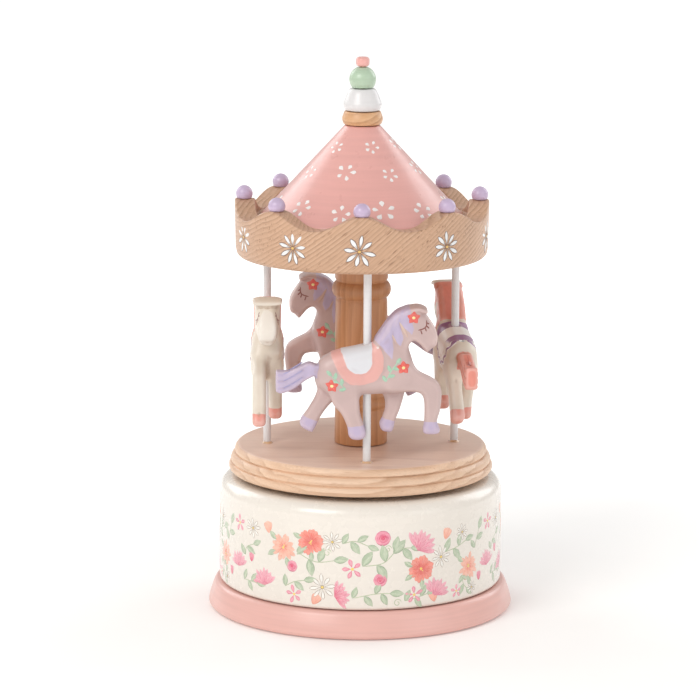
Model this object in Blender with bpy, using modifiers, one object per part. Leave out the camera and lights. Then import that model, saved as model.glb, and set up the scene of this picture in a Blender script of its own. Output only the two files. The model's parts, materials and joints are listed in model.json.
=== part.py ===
"""Carousel music box: a painted wooden carousel turned by an 18-note movement in a drum.

Metres, +Z up. The origin is on the turning axis, at the surface that the box stands on.
The front of the box faces -Y, and +X is to its right.
"""

import math

import bmesh
import bpy
from mathutils import Matrix, Vector

MM = 0.001
GAP = 0.3 * MM  # left between two pieces that touch
FINE, ROUND, SMALL, TINY = 40, 24, 16, 8  # sides of a turned piece
WELD = 0.00001

# Plinth, which is also the winding base
PLINTH_RADIUS = 55.0 * MM
PLINTH_TOP = 9.7 * MM
PLINTH_FOOT = 0.3 * MM
FELT_INNER = 30.3 * MM
FELT_OUTER = 50.0 * MM
FELT_TOP = 1.3 * MM

# Drum
DRUM_RADIUS = 50.9 * MM
DRUM_BOTTOM = 10.1 * MM
DRUM_TOP = 47.9 * MM
DRUM_EDGE = 5.0 * MM
DRUM_INNER = 44.0 * MM
DRUM_CEILING = 42.5 * MM
REBATE_RADIUS = 48.0 * MM
FLOOR_BOTTOM = 10.4 * MM
FLOOR_TOP = 13.0 * MM
FLOOR_SCREW_RING = 46.0 * MM

# Stem, barrel and output shaft, all on the turning axis
STEM_RADIUS = 2.0 * MM
BARREL_RADIUS = 13.0 * MM
BARREL_BOTTOM = 18.0 * MM
BARREL_WALL = 1.0 * MM
CROWN_TEETH = 40
SHAFT_RADIUS = 2.0 * MM
SHAFT_TOP = 54.0 * MM

# Gear train
MODULE = 0.6 * MM
ADDENDUM = 0.45 * MM
DEDENDUM = 0.7 * MM
TOOTH_FILL = 0.36  # tooth width at the pitch line, as a share of the pitch
PINION_TEETH = 10
WHEEL_TEETH = 24
WORM_WHEEL_TEETH = 8
CYLINDER_HEIGHT = 28.6 * MM  # of the tune cylinder's axis
CYLINDER_RADIUS = 6.5 * MM
CYLINDER_START = 15.2 * MM
CYLINDER_LENGTH = 18.0 * MM
PIN_HEIGHT = 0.5 * MM
PIN_COUNT = 18
COMB_TEETH = 18
ARBOR_RADIUS = 1.0 * MM
GOVERNOR_Y = 10.3 * MM
FLY_X, FLY_Y = 29.0 * MM, 14.3 * MM

# Bedplate of the movement
BEDPLATE_BOTTOM = 40.2 * MM
BEDPLATE_TOP = 42.2 * MM
BEDPLATE_SCREWS = ((-12.0 * MM, -15.0 * MM), (-12.0 * MM, 15.0 * MM), (35.5 * MM, -12.0 * MM))
COMB_SCREWS = (18.5 * MM, 30.0 * MM)
COMB_SCREW_Y = -18.5 * MM

# Turntable, column, poles and canopy
TURNTABLE_BOTTOM = 49.7 * MM
TURNTABLE_TOP = 59.4 * MM
COLUMN_RADIUS = 9.5 * MM
TENON_RADIUS = 4.0 * MM
TENON_LENGTH = 3.8 * MM
POLE_RADIUS = 1.4 * MM
POLE_RING = 33.8 * MM
POLE_DEPTH = 3.2 * MM
CANOPY_BOTTOM = 128.2 * MM
CANOPY_FLOOR = 141.8 * MM
CANOPY_PEAK = 148.2 * MM
CANOPY_VALLEY = 142.8 * MM
SCALLOPS = 8
SCALLOP_SIDES = 6  # of the turned canopy, for each scallop
KNOB_RADIUS = 3.0 * MM
KNOB_RING = 42.0 * MM
KNOB_HEIGHT = 149.85 * MM
PEG_RADIUS = 1.0 * MM

# Roof and finial
CONE_APEX = 181.4 * MM
CONE_SLOPE = 0.929  # radius gained per unit of height
CONE_TOP = 174.7 * MM
CONE_BASE = 142.1 * MM
DOWEL_RADIUS = 1.0 * MM

# Horses
HORSE_FOOT = 68.0 * MM
HORSE_TRIANGLES = 640
HORSE_VOXEL = 0.9 * MM
SIDES = ("front", "right", "back", "left")
POLE_TURN = 3.6  # degrees past square
HORSE_YAW = {"front": -1.8, "right": 6.0, "back": 0.0, "left": -2.0}  # degrees, nose inwards


# ---------------------------------------------------------------- scene and materials


def new_collection(name):
    made = bpy.data.collections.new(name)
    bpy.context.scene.collection.children.link(made)
    return made


for old in list(bpy.data.objects):
    bpy.data.objects.remove(old, do_unlink=True)
PARTS = new_collection("carousel_music_box")
CUTTERS = new_collection("cutters")


def finish(name, colour, roughness, metallic=0.0):
    material = bpy.data.materials.new(name)
    material.use_nodes = True
    shader = material.node_tree.nodes["Principled BSDF"]
    shader.inputs["Base Color"].default_value = (*colour, 1.0)
    shader.inputs["Roughness"].default_value = roughness
    shader.inputs["Metallic"].default_value = metallic
    return material


PINK_PAINT = finish("pink_paint", (0.76, 0.47, 0.43), 0.4)
CREAM_PAINT = finish("cream_paint", (0.78, 0.72, 0.64), 0.35)
ROOF_PAINT = finish("roof_paint", (0.68, 0.36, 0.33), 0.4)
LILAC_PAINT = finish("lilac_paint", (0.45, 0.36, 0.53), 0.35)
MAUVE_PAINT = finish("mauve_paint", (0.56, 0.39, 0.38), 0.45)
IVORY_PAINT = finish("ivory_paint", (0.72, 0.64, 0.54), 0.45)
WHITE_PAINT = finish("white_paint", (0.76, 0.75, 0.74), 0.35)
GREEN_PAINT = finish("green_paint", (0.36, 0.5, 0.37), 0.35)
BEECH = finish("beech", (0.53, 0.34, 0.22), 0.5)
TURNED_WOOD = finish("turned_wood", (0.48, 0.24, 0.12), 0.45)
PLYWOOD = finish("plywood", (0.5, 0.36, 0.22), 0.7)
FELT = finish("felt", (0.12, 0.1, 0.1), 0.95)
BRASS = finish("brass", (0.72, 0.5, 0.2), 0.3, 1.0)
STEEL = finish("steel", (0.55, 0.55, 0.56), 0.32, 1.0)
CAST_METAL = finish("cast_metal", (0.38, 0.38, 0.4), 0.5, 1.0)
NYLON = finish("nylon", (0.8, 0.79, 0.74), 0.5)


# ---------------------------------------------------------------- modelling tools


def add(name, data, material=None, pivot=None, collection=PARTS):
    made = bpy.data.objects.new(name, data)
    collection.objects.link(made)
    if material is not None:
        data.materials.append(material)
    made.parent = pivot
    return made


def new_pivot(name, parent=None, location=(0.0, 0.0, 0.0)):
    made = bpy.data.objects.new(name, None)
    PARTS.objects.link(made)
    made.parent = parent
    made.location = location
    return made


def settled(made):
    """Give the object the mesh that its curve or modifiers make, with its caps welded."""
    bpy.context.view_layer.update()
    shape = made.evaluated_get(bpy.context.evaluated_depsgraph_get())
    mesh = bpy.data.meshes.new_from_object(shape)
    soup = bmesh.new()
    soup.from_mesh(mesh)
    bmesh.ops.remove_doubles(soup, verts=soup.verts, dist=WELD)
    soup.to_mesh(mesh)
    soup.free()
    if made.type == "MESH":
        made.modifiers.clear()
        made.data = mesh
        return made
    name, materials, parent = made.name, list(made.data.materials), made.parent
    collection, basis = made.users_collection[0], made.matrix_basis.copy()
    bpy.data.objects.remove(made, do_unlink=True)
    fresh = bpy.data.objects.new(name, mesh)
    collection.objects.link(fresh)
    fresh.parent = parent
    fresh.matrix_basis = basis
    mesh.materials.clear()
    for material in materials:
        mesh.materials.append(material)
    return fresh


def combine(target, tool, operation):
    """Cut the tool from the target, or join it on."""
    modifier = target.modifiers.new("combine", "BOOLEAN")
    modifier.operation = operation
    modifier.solver = "EXACT"
    modifier.object = tool
    settled(target)
    bpy.data.objects.remove(tool, do_unlink=True)
    return target


def turned(name, profile, material=None, pivot=None, steps=ROUND, ring=False, collection=PARTS):
    """Turn a profile of (radius, height) points about Z; it runs down its outer side."""
    mesh = bpy.data.meshes.new(name)
    edges = [(i, i + 1) for i in range(len(profile) - 1)]
    if ring:
        edges.append((len(profile) - 1, 0))
    mesh.from_pydata([(radius, 0.0, height) for radius, height in profile], edges, [])
    made = add(name, mesh, material, pivot, collection)
    screw = made.modifiers.new("turn", "SCREW")
    screw.steps = steps
    screw.render_steps = steps
    screw.use_merge_vertices = True
    screw.merge_threshold = WELD
    return settled(made)


def arc(centre_radius, centre_height, radius, start, end, count):
    """Points of (radius, height) on an arc; angles in degrees, 90 points up."""
    points = []
    for i in range(count + 1):
        angle = math.radians(start + (end - start) * i / count)
        points.append(
            (centre_radius + radius * math.cos(angle), centre_height + radius * math.sin(angle))
        )
    return points


def washer(name, inner, outer, bottom, top, material, pivot, steps=SMALL):
    profile = [(inner, top), (outer, top), (outer, bottom), (inner, bottom)]
    return turned(name, profile, material, pivot, steps, ring=True)


def rods(name, places, radius, bottom, top, sides=SMALL):
    """One cutter made of upright rods."""
    soup = bmesh.new()
    for x, y in places:
        centre = Matrix.Translation((x, y, (bottom + top) / 2))
        bmesh.ops.create_cone(
            soup,
            cap_ends=True,
            segments=sides,
            radius1=radius,
            radius2=radius,
            depth=top - bottom,
            matrix=centre,
        )
    mesh = bpy.data.meshes.new(name)
    soup.to_mesh(mesh)
    soup.free()
    made = add(name, mesh, collection=CUTTERS)
    made.hide_render = True
    made.display_type = "WIRE"
    return made


def block(name, low, high, material=None, pivot=None, collection=PARTS):
    """A box between two corners."""
    low, high = Vector(low), Vector(high)
    size = Matrix.Diagonal((*(high - low), 1.0))
    soup = bmesh.new()
    bmesh.ops.create_cube(soup, size=1.0, matrix=Matrix.Translation((low + high) / 2) @ size)
    mesh = bpy.data.meshes.new(name)
    soup.to_mesh(mesh)
    soup.free()
    return add(name, mesh, material, pivot, collection)


def plate(name, outlines, thickness, material=None, pivot=None, collection=PARTS):
    """A flat plate in local XY, centred on Z = 0; outlines after the first are its holes."""
    curve = bpy.data.curves.new(name, "CURVE")
    curve.dimensions = "2D"
    curve.fill_mode = "BOTH"
    curve.extrude = thickness / 2
    for outline in outlines:
        spline = curve.splines.new("POLY")
        spline.points.add(len(outline) - 1)
        for point, (x, y) in zip(spline.points, outline):
            point.co = (x, y, 0.0, 1.0)
        spline.use_cyclic_u = True
    return settled(add(name, curve, material, pivot, collection))


def circle(x, y, radius, count=12):
    steps = [2 * math.pi * i / count for i in range(count)]
    return [(x + radius * math.cos(step), y + radius * math.sin(step)) for step in steps]


def rectangle(left, front, right, back, corner, count=3):
    """A rectangle with round corners."""
    points = []
    corners = (
        (right - corner, back - corner, 0),
        (left + corner, back - corner, 90),
        (left + corner, front + corner, 180),
        (right - corner, front + corner, 270),
    )
    for x, y, start in corners:
        points += arc(x, y, corner, start, start + 90, count)
    return points


def gear_outline(teeth, pitch_radius):
    """A tooth points along +X; each has straight flanks between its root and its tip."""
    pitch = 2 * math.pi / teeth
    middle = TOOTH_FILL * pitch / 2
    tip, root = 0.62 * middle, 1.4 * middle
    points = []
    for i in range(teeth):
        centre = i * pitch
        for angle, radius in (
            (-root, pitch_radius - DEDENDUM),
            (-tip, pitch_radius + ADDENDUM),
            (tip, pitch_radius + ADDENDUM),
            (root, pitch_radius - DEDENDUM),
        ):
            angle += centre
            points.append((radius * math.cos(angle), radius * math.sin(angle)))
    return points


def along_x(made, x, y=0.0, height=CYLINDER_HEIGHT):
    """Lay a piece that was made along +Z along +X, its origin on its own axis."""
    made.rotation_euler = (0.0, math.pi / 2, 0.0)
    made.location = Vector((x, y, height)) - made.parent.location
    return made


def around(radius, turn, count):
    """Places on a ring, the first at the front, then towards the right."""
    angles = [turn + 2 * math.pi * i / count for i in range(count)]
    return [(radius * math.sin(angle), -radius * math.cos(angle)) for angle in angles]


def pole_places():
    """Where each pole stands, and the heading of the circle there."""
    places = {}
    for number, side in enumerate(SIDES):
        heading = math.radians(90 * number + POLE_TURN)
        x, y = POLE_RING * math.sin(heading), -POLE_RING * math.cos(heading)
        places[side] = (x, y, heading)
    return places


def screw_from_below(name, x, y, seat, length, head, shank, material, pivot):
    """A screw whose head is under the seat height and whose shank points up."""
    thickness = 0.55 * head
    profile = [
        (0.0, length),
        (0.4 * shank, length),
        (shank, length - 1.5 * shank),
        (shank, 0.0),
        (head, 0.0),
        (head, -0.5 * thickness),
        (0.6 * head, -thickness),
        (0.0, -thickness),
    ]
    made = turned(name, profile, material, pivot, TINY)
    made.location = (x, y, seat)
    return made


# ---------------------------------------------------------------- base


def make_base(pivot):
    recess = FELT_TOP + GAP
    profile = [
        (1.9 * MM, 8.0 * MM),
        (5.4 * MM, 8.0 * MM),
        (5.4 * MM, PLINTH_TOP),
        (10.6 * MM, PLINTH_TOP),
        (10.6 * MM, 8.6 * MM),
        (16.4 * MM, 8.6 * MM),
        (16.4 * MM, PLINTH_TOP),
        (51.8 * MM, PLINTH_TOP),
        (52.7 * MM, 8.8 * MM),
        (54.2 * MM, 4.7 * MM),
        (PLINTH_RADIUS, 1.4 * MM),
        (54.0 * MM, PLINTH_FOOT),
        (FELT_OUTER + GAP, PLINTH_FOOT),
        (FELT_OUTER + GAP, recess),
        (FELT_INNER - GAP, recess),
        (FELT_INNER - GAP, PLINTH_FOOT),
        (8.0 * MM, PLINTH_FOOT),
        (8.0 * MM, 4.9 * MM),
        (1.9 * MM, 4.9 * MM),
    ]
    turned("plinth", profile, PINK_PAINT, pivot, FINE, ring=True)
    washer("felt_ring", FELT_INNER, FELT_OUTER, 0.0, FELT_TOP, FELT, pivot, ROUND)
    stem = [
        (0.0, 23.6 * MM),
        (STEM_RADIUS, 23.6 * MM),
        (STEM_RADIUS, 9.4 * MM),
        (5.0 * MM, 9.4 * MM),
        (5.0 * MM, 8.3 * MM),
        (1.5 * MM, 8.3 * MM),
        (1.5 * MM, 1.6 * MM),
        (0.0, 1.6 * MM),
    ]
    turned("winding_stem", stem, STEEL, pivot, SMALL)
    nut = plate(
        "stem_nut",
        [circle(0.0, 0.0, 4.0 * MM, 6), circle(0.0, 0.0, 1.8 * MM)],
        2.2 * MM,
        STEEL,
        pivot,
    )
    nut.location.z = 3.5 * MM


# ---------------------------------------------------------------- drum


def make_drum(pivot):
    edge = arc(DRUM_RADIUS - DRUM_EDGE, DRUM_TOP - DRUM_EDGE, DRUM_EDGE, 90, 0, 4)
    bush_hole = 4.8 * MM
    profile = [
        (bush_hole, DRUM_TOP),
        *edge,
        (DRUM_RADIUS, DRUM_BOTTOM + 0.6 * MM),
        (DRUM_RADIUS - 0.5 * MM, DRUM_BOTTOM),
        (REBATE_RADIUS, DRUM_BOTTOM),
        (REBATE_RADIUS, FLOOR_TOP + GAP),
        (DRUM_INNER, FLOOR_TOP + GAP),
        (DRUM_INNER, DRUM_CEILING),
        (bush_hole, DRUM_CEILING),
    ]
    shell = turned("drum_shell", profile, CREAM_PAINT, pivot, FINE, ring=True)
    floor_places = around(FLOOR_SCREW_RING, 0.0, 3)
    holes = rods("floor_screw_holes", floor_places, 1.1 * MM, 12.0 * MM, 19.4 * MM, TINY)
    combine(shell, holes, "DIFFERENCE")
    holes = rods("bedplate_screw_holes", BEDPLATE_SCREWS, 1.2 * MM, 41.0 * MM, 46.2 * MM, TINY)
    combine(shell, holes, "DIFFERENCE")

    floor_profile = [
        (2.6 * MM, FLOOR_TOP),
        (REBATE_RADIUS - GAP, FLOOR_TOP),
        (REBATE_RADIUS - GAP, FLOOR_BOTTOM),
        (2.6 * MM, FLOOR_BOTTOM),
    ]
    floor = turned("drum_floor", floor_profile, PLYWOOD, pivot, ROUND, ring=True)
    holes = rods("floor_holes", floor_places, 1.1 * MM, 9.0 * MM, 14.0 * MM, TINY)
    combine(floor, holes, "DIFFERENCE")
    seats = rods("floor_seats", floor_places, 1.9 * MM, 9.0 * MM, 11.6 * MM, TINY)
    combine(floor, seats, "DIFFERENCE")
    for number, (x, y) in enumerate(floor_places, 1):
        name = f"floor_screw_{number}"
        screw_from_below(name, x, y, 11.3 * MM, 7.4 * MM, 1.5 * MM, 0.75 * MM, STEEL, pivot)

    washer("lower_thrust_ring", 11.0 * MM, 16.0 * MM, 8.9 * MM, 10.1 * MM, NYLON, pivot)
    washer("upper_thrust_washer", 5.0 * MM, 8.0 * MM, 48.2 * MM, 49.4 * MM, NYLON, pivot)
    washer("shaft_bush", 2.4 * MM, 4.5 * MM, 42.8 * MM, 47.7 * MM, BRASS, pivot)


def make_clutch_spring(pivot):
    """One-way spring that wraps the stem and holds what was wound; its tail lies outwards."""
    radius, wire, turns, per_turn = 3.05 * MM, 0.4 * MM, 3, 8
    start, pitch = 13.8 * MM, 1.05 * MM
    points = [(7.5 * MM, 0.0, start), (5.0 * MM, 0.0, start)]
    for i in range(turns * per_turn + 1):
        angle = 2 * math.pi * i / per_turn
        height = start + pitch * i / per_turn
        points.append((radius * math.cos(angle), radius * math.sin(angle), height))
    curve = bpy.data.curves.new("clutch_spring", "CURVE")
    curve.dimensions = "3D"
    curve.bevel_depth = wire
    curve.bevel_resolution = 1
    curve.use_fill_caps = True
    spline = curve.splines.new("POLY")
    spline.points.add(len(points) - 1)
    for point, place in zip(spline.points, points):
        point.co = (*place, 1.0)
    settled(add("clutch_spring", curve, STEEL, pivot))


# ---------------------------------------------------------------- movement


def make_bedplate(pivot):
    outline = rectangle(-16.0 * MM, -20.5 * MM, 38.2 * MM, 19.5 * MM, 3.0 * MM)
    holes = [circle(x, y, 1.2 * MM, TINY) for x, y in BEDPLATE_SCREWS]
    plates = [outline, circle(0.0, 0.0, 3.0 * MM, SMALL), *holes]
    bedplate = plate("bedplate", plates, BEDPLATE_TOP - BEDPLATE_BOTTOM, CAST_METAL, pivot)
    bedplate.location.z = (BEDPLATE_TOP + BEDPLATE_BOTTOM) / 2
    for number, (x, y) in enumerate(BEDPLATE_SCREWS, 1):
        name = f"bedplate_screw_{number}"
        seat = BEDPLATE_BOTTOM - GAP
        screw_from_below(name, x, y, seat, 5.9 * MM, 1.9 * MM, 0.9 * MM, STEEL, pivot)


def make_comb(pivot):
    tip, root, back = -7.3 * MM, -14.0 * MM, -20.3 * MM
    left = CYLINDER_START + 0.2 * MM
    pitch = (CYLINDER_LENGTH - 0.4 * MM) / COMB_TEETH
    slot = 0.35 * pitch
    outline = [(left, back)]
    for i in range(COMB_TEETH):
        start = left + i * pitch + slot / 2
        end = left + (i + 1) * pitch - slot / 2
        outline += [(start, root), (start, tip), (end, tip), (end, root)]
    outline.append((left + COMB_TEETH * pitch, back))
    holes = [circle(x, COMB_SCREW_Y, 1.1 * MM, TINY) for x in COMB_SCREWS]
    comb = plate("comb", [outline, *holes], 0.8 * MM, STEEL, pivot)
    comb.location.z = CYLINDER_HEIGHT
    rest = block(
        "comb_rest",
        (CYLINDER_START + 0.2 * MM, back, CYLINDER_HEIGHT + 0.7 * MM),
        (CYLINDER_START + CYLINDER_LENGTH - 0.2 * MM, -15.0 * MM, BEDPLATE_BOTTOM - GAP),
        CAST_METAL,
        pivot,
    )
    places = [(x, COMB_SCREW_Y) for x in COMB_SCREWS]
    combine(rest, rods("rest_holes", places, 1.1 * MM, 20.0 * MM, 34.5 * MM, TINY), "DIFFERENCE")
    for number, (x, y) in enumerate(places, 1):
        name = f"comb_screw_{number}"
        seat = CYLINDER_HEIGHT - 0.7 * MM
        screw_from_below(name, x, y, seat, 6.0 * MM, 1.8 * MM, 0.75 * MM, STEEL, pivot)


def make_bearing(name, x, pivot):
    """A hanger from the bedplate to the tune cylinder's arbor, made in YZ."""
    half, rise = 3.2 * MM, BEDPLATE_BOTTOM - GAP - CYLINDER_HEIGHT
    outline = [(-rise, -1.6 * half), (-rise, 1.6 * half), (-0.7 * rise, half)]
    outline += arc(0.0, 0.0, half, 90, -90, 8)
    outline.append((-0.7 * rise, -half))
    hole = circle(0.0, 0.0, ARBOR_RADIUS + GAP)
    bearing = plate(name, [outline, hole], 1.2 * MM, BRASS, pivot)
    along_x(bearing, x)


def make_governor_frame(pivot):
    """A cheek beside the governor arbor, with a shelf above and below the fly."""
    cheek = plate(
        "governor_frame",
        [
            rectangle(-11.3 * MM, 8.4 * MM, 8.1 * MM, 19.0 * MM, 1.0 * MM),
            circle(0.0, GOVERNOR_Y, 1.2 * MM),
        ],
        1.2 * MM,
        BRASS,
        pivot,
    )
    along_x(cheek, 32.6 * MM)
    for low, high in ((20.6, 21.8), (33.5, 34.7)):
        shelf = block(
            "shelf",
            (25.4 * MM, 9.0 * MM, low * MM),
            (32.4 * MM, 18.6 * MM, high * MM),
            collection=CUTTERS,
        )
        combine(cheek, shelf, "UNION")
    pivots = rods("fly_pivots", [(FLY_X, FLY_Y)], 0.9 * MM, 21.1 * MM, 36.0 * MM, TINY)
    combine(cheek, pivots, "DIFFERENCE")


def make_cylinder(pivot):
    arbor = [
        (0.0, 28.4 * MM),
        (ARBOR_RADIUS, 28.4 * MM),
        (ARBOR_RADIUS, 0.0),
        (0.0, 0.0),
    ]
    shaft = along_x(turned("pinion_arbor", arbor, STEEL, pivot, TINY), 10.0 * MM)
    outline = gear_outline(PINION_TEETH, MODULE * PINION_TEETH / 2)
    pinion = plate("pinion", [outline], 2.2 * MM, None, pivot, CUTTERS)
    combine(shaft, along_x(pinion, 12.0 * MM), "UNION")

    outline = gear_outline(WHEEL_TEETH, MODULE * WHEEL_TEETH / 2)
    hole = circle(0.0, 0.0, ARBOR_RADIUS + GAP)
    wheel = plate("cylinder_wheel", [outline, hole], 1.4 * MM, BRASS, pivot)
    along_x(wheel, 34.7 * MM)

    drum = washer(
        "tune_cylinder",
        ARBOR_RADIUS + GAP,
        CYLINDER_RADIUS,
        0.0,
        CYLINDER_LENGTH,
        BRASS,
        pivot,
        FINE // 2,
    )
    soup = bmesh.new()
    for i in range(PIN_COUNT):
        angle = i * math.radians(137.5)
        track = (i * 7 % COMB_TEETH + 0.5) * CYLINDER_LENGTH / COMB_TEETH
        turn = Matrix.Rotation(angle, 4, "Z") @ Matrix.Rotation(math.pi / 2, 4, "Y")
        lift = Matrix.Translation((0.0, 0.0, CYLINDER_RADIUS))
        bmesh.ops.create_cone(
            soup,
            cap_ends=True,
            segments=4,
            radius1=0.3 * MM,
            radius2=0.2 * MM,
            depth=2 * PIN_HEIGHT,
            matrix=Matrix.Translation((0.0, 0.0, track)) @ turn @ lift,
        )
    mesh = bpy.data.meshes.new("pins")
    soup.to_mesh(mesh)
    soup.free()
    combine(drum, add("pins", mesh, None, pivot, CUTTERS), "UNION")
    along_x(drum, CYLINDER_START)


def make_governor(pivot):
    """Arbor with the governor pinion at its right end and the worm wheel on its left."""
    arbor = [(0.0, 9.4 * MM), (0.8 * MM, 9.4 * MM), (0.8 * MM, 0.0), (0.0, 0.0)]
    shaft = along_x(turned("governor_arbor", arbor, STEEL, pivot, TINY), 26.8 * MM, GOVERNOR_Y)
    outline = gear_outline(PINION_TEETH, MODULE * PINION_TEETH / 2)
    pinion = plate("governor_pinion", [outline], 1.4 * MM, None, pivot, CUTTERS)
    combine(shaft, along_x(pinion, 34.7 * MM, GOVERNOR_Y), "UNION")
    outline = []
    for i in range(2 * WORM_WHEEL_TEETH):
        angle = math.pi * i / WORM_WHEEL_TEETH
        radius = (2.6 if i % 2 == 0 else 2.2) * MM
        outline.append((radius * math.cos(angle), radius * math.sin(angle)))
    worm_wheel = plate("worm_wheel", [outline], 2.6 * MM, None, pivot, CUTTERS)
    combine(shaft, along_x(worm_wheel, FLY_X, GOVERNOR_Y), "UNION")


def make_fly(pivot):
    """Worm spindle with the air brake's two wings near its foot."""
    spindle = [
        (0.0, 34.2 * MM),
        (0.5 * MM, 34.2 * MM),
        (0.5 * MM, 31.0 * MM),
        (1.0 * MM, 30.6 * MM),
        (0.75 * MM, 29.9 * MM),
        (1.0 * MM, 29.2 * MM),
        (0.75 * MM, 28.5 * MM),
        (1.0 * MM, 27.8 * MM),
        (0.75 * MM, 27.1 * MM),
        (0.6 * MM, 26.0 * MM),
        (0.6 * MM, 22.3 * MM),
        (0.4 * MM, 21.6 * MM),
        (0.0, 21.6 * MM),
    ]
    fly = turned("fly", spindle, STEEL, pivot, TINY)
    wings = block(
        "wings",
        (-2.6 * MM, -0.35 * MM, 22.8 * MM),
        (2.6 * MM, 0.35 * MM, 25.4 * MM),
        None,
        pivot,
        CUTTERS,
    )
    combine(fly, wings, "UNION")


# ---------------------------------------------------------------- drive to the turntable


def make_drive(pivot):
    top = 24.9 * MM
    inner = BARREL_RADIUS - BARREL_WALL
    profile = [
        (0.0, top),
        (BARREL_RADIUS, top),
        (BARREL_RADIUS, BARREL_BOTTOM),
        (inner, BARREL_BOTTOM),
        (inner, top - BARREL_WALL),
        (0.0, top - BARREL_WALL),
    ]
    barrel = turned("barrel", profile, BRASS, pivot, SMALL + 8)
    crown = top + DEDENDUM + ADDENDUM
    root_width, tip_width = 0.95 * MM, 0.42 * MM
    soup = bmesh.new()
    for i in range(CROWN_TEETH):
        turn = Matrix.Rotation((i + 0.5) * 2 * math.pi / CROWN_TEETH, 4, "Z")
        tooth = bmesh.ops.create_cube(soup, size=1.0)
        for vertex in tooth["verts"]:
            high = vertex.co.z > 0
            along = 12.9 * MM if vertex.co.x > 0 else 10.7 * MM
            across = (tip_width if high else root_width) * vertex.co.y
            vertex.co = turn @ Vector((along, across, crown if high else top - 0.3 * MM))
    mesh = bpy.data.meshes.new("crown_teeth")
    soup.to_mesh(mesh)
    soup.free()
    combine(barrel, add("crown_teeth", mesh, None, pivot, CUTTERS), "UNION")

    lid_radius = inner - GAP
    washer("barrel_lid", 2.4 * MM, lid_radius, BARREL_BOTTOM, 18.8 * MM, BRASS, pivot, ROUND)

    turns, per_turn = 4, 12
    band, start, pitch = 0.45 * MM, 3.1 * MM, 2.0 * MM
    outer, inside = [], []
    for i in range(turns * per_turn + 1):
        angle = 2 * math.pi * i / per_turn
        radius = start + pitch * i / per_turn
        outer.append(((radius + band) * math.cos(angle), (radius + band) * math.sin(angle)))
        inside.append((radius * math.cos(angle), radius * math.sin(angle)))
    spring = plate("mainspring", [outer + inside[::-1]], 4.2 * MM, STEEL, pivot)
    spring.location.z = 21.3 * MM

    shaft = [
        (0.0, SHAFT_TOP),
        (SHAFT_RADIUS, SHAFT_TOP),
        (SHAFT_RADIUS, 26.4 * MM),
        (6.0 * MM, 26.4 * MM),
        (6.0 * MM, 25.2 * MM),
        (0.0, 25.2 * MM),
    ]
    turned("output_shaft", shaft, STEEL, pivot, SMALL)
    washer("hub_flange", 2.3 * MM, 8.0 * MM, TURNTABLE_BOTTOM, 51.4 * MM, BRASS, pivot)


# ---------------------------------------------------------------- carousel


def make_turntable(pivot):
    recess = 51.7 * MM
    profile = [
        (0.0, TURNTABLE_TOP),
        (43.9 * MM, TURNTABLE_TOP),
        (44.7 * MM, 58.8 * MM),
        (45.5 * MM, 57.0 * MM),
        (45.1 * MM, 56.6 * MM),
        (46.3 * MM, 55.7 * MM),
        (47.0 * MM, 53.6 * MM),
        (46.6 * MM, 53.1 * MM),
        (47.6 * MM, 52.2 * MM),
        (47.3 * MM, 50.6 * MM),
        (46.5 * MM, TURNTABLE_BOTTOM),
        (8.3 * MM, TURNTABLE_BOTTOM),
        (8.3 * MM, recess),
        (0.0, recess),
    ]
    table = turned("turntable", profile, BEECH, pivot, FINE)
    axis = [(0.0, 0.0)]
    shaft_hole = rods("shaft_hole", axis, SHAFT_RADIUS + GAP, 49.0 * MM, SHAFT_TOP + GAP)
    combine(table, shaft_hole, "DIFFERENCE")
    tenon_floor = TURNTABLE_TOP - TENON_LENGTH
    mortise = rods("mortise", axis, TENON_RADIUS + GAP, tenon_floor, 61.0 * MM)
    combine(table, mortise, "DIFFERENCE")
    pole_floor = TURNTABLE_TOP - POLE_DEPTH - GAP
    places = [(x, y) for x, y, heading in pole_places().values()]
    sockets = rods("pole_sockets", places, POLE_RADIUS + GAP, pole_floor, 61.0 * MM, TINY + 2)
    combine(table, sockets, "DIFFERENCE")


def make_column(pivot):
    foot, head = TURNTABLE_TOP + GAP, CANOPY_BOTTOM - GAP
    profile = [
        (0.0, head + TENON_LENGTH),
        (TENON_RADIUS, head + TENON_LENGTH),
        (TENON_RADIUS, head),
        (COLUMN_RADIUS, head),
        (COLUMN_RADIUS, 119.6 * MM),
        *arc(COLUMN_RADIUS - 2.6 * MM, 115.7 * MM, 3.7 * MM, 56, -56, 4),
        (COLUMN_RADIUS - 0.2 * MM, 111.6 * MM),
        (COLUMN_RADIUS, 77.6 * MM),
        *arc(COLUMN_RADIUS - 2.1 * MM, 74.7 * MM, 2.8 * MM, 50, -50, 2),
        (COLUMN_RADIUS - 0.1 * MM, 71.8 * MM),
        (COLUMN_RADIUS, foot),
        (TENON_RADIUS, foot),
        (TENON_RADIUS, foot - TENON_LENGTH),
        (0.0, foot - TENON_LENGTH),
    ]
    turned("column", profile, TURNED_WOOD, pivot, ROUND)


def make_poles(pivot):
    for side, (x, y, _) in pole_places().items():
        foot, head = TURNTABLE_TOP - POLE_DEPTH, CANOPY_BOTTOM + POLE_DEPTH
        profile = [(0.0, head), (POLE_RADIUS, head), (POLE_RADIUS, foot), (0.0, foot)]
        pole = turned(f"pole_{side}", profile, WHITE_PAINT, pivot, TINY + 2)
        pole.location = (x, y, 0.0)


def rim_height(angle):
    """Height of the scalloped rim: narrow round peaks between wider valleys."""
    wave = 0.5 + 0.5 * math.cos(SCALLOPS * angle)
    return CANOPY_VALLEY + (CANOPY_PEAK - CANOPY_VALLEY) * wave**1.15


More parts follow.
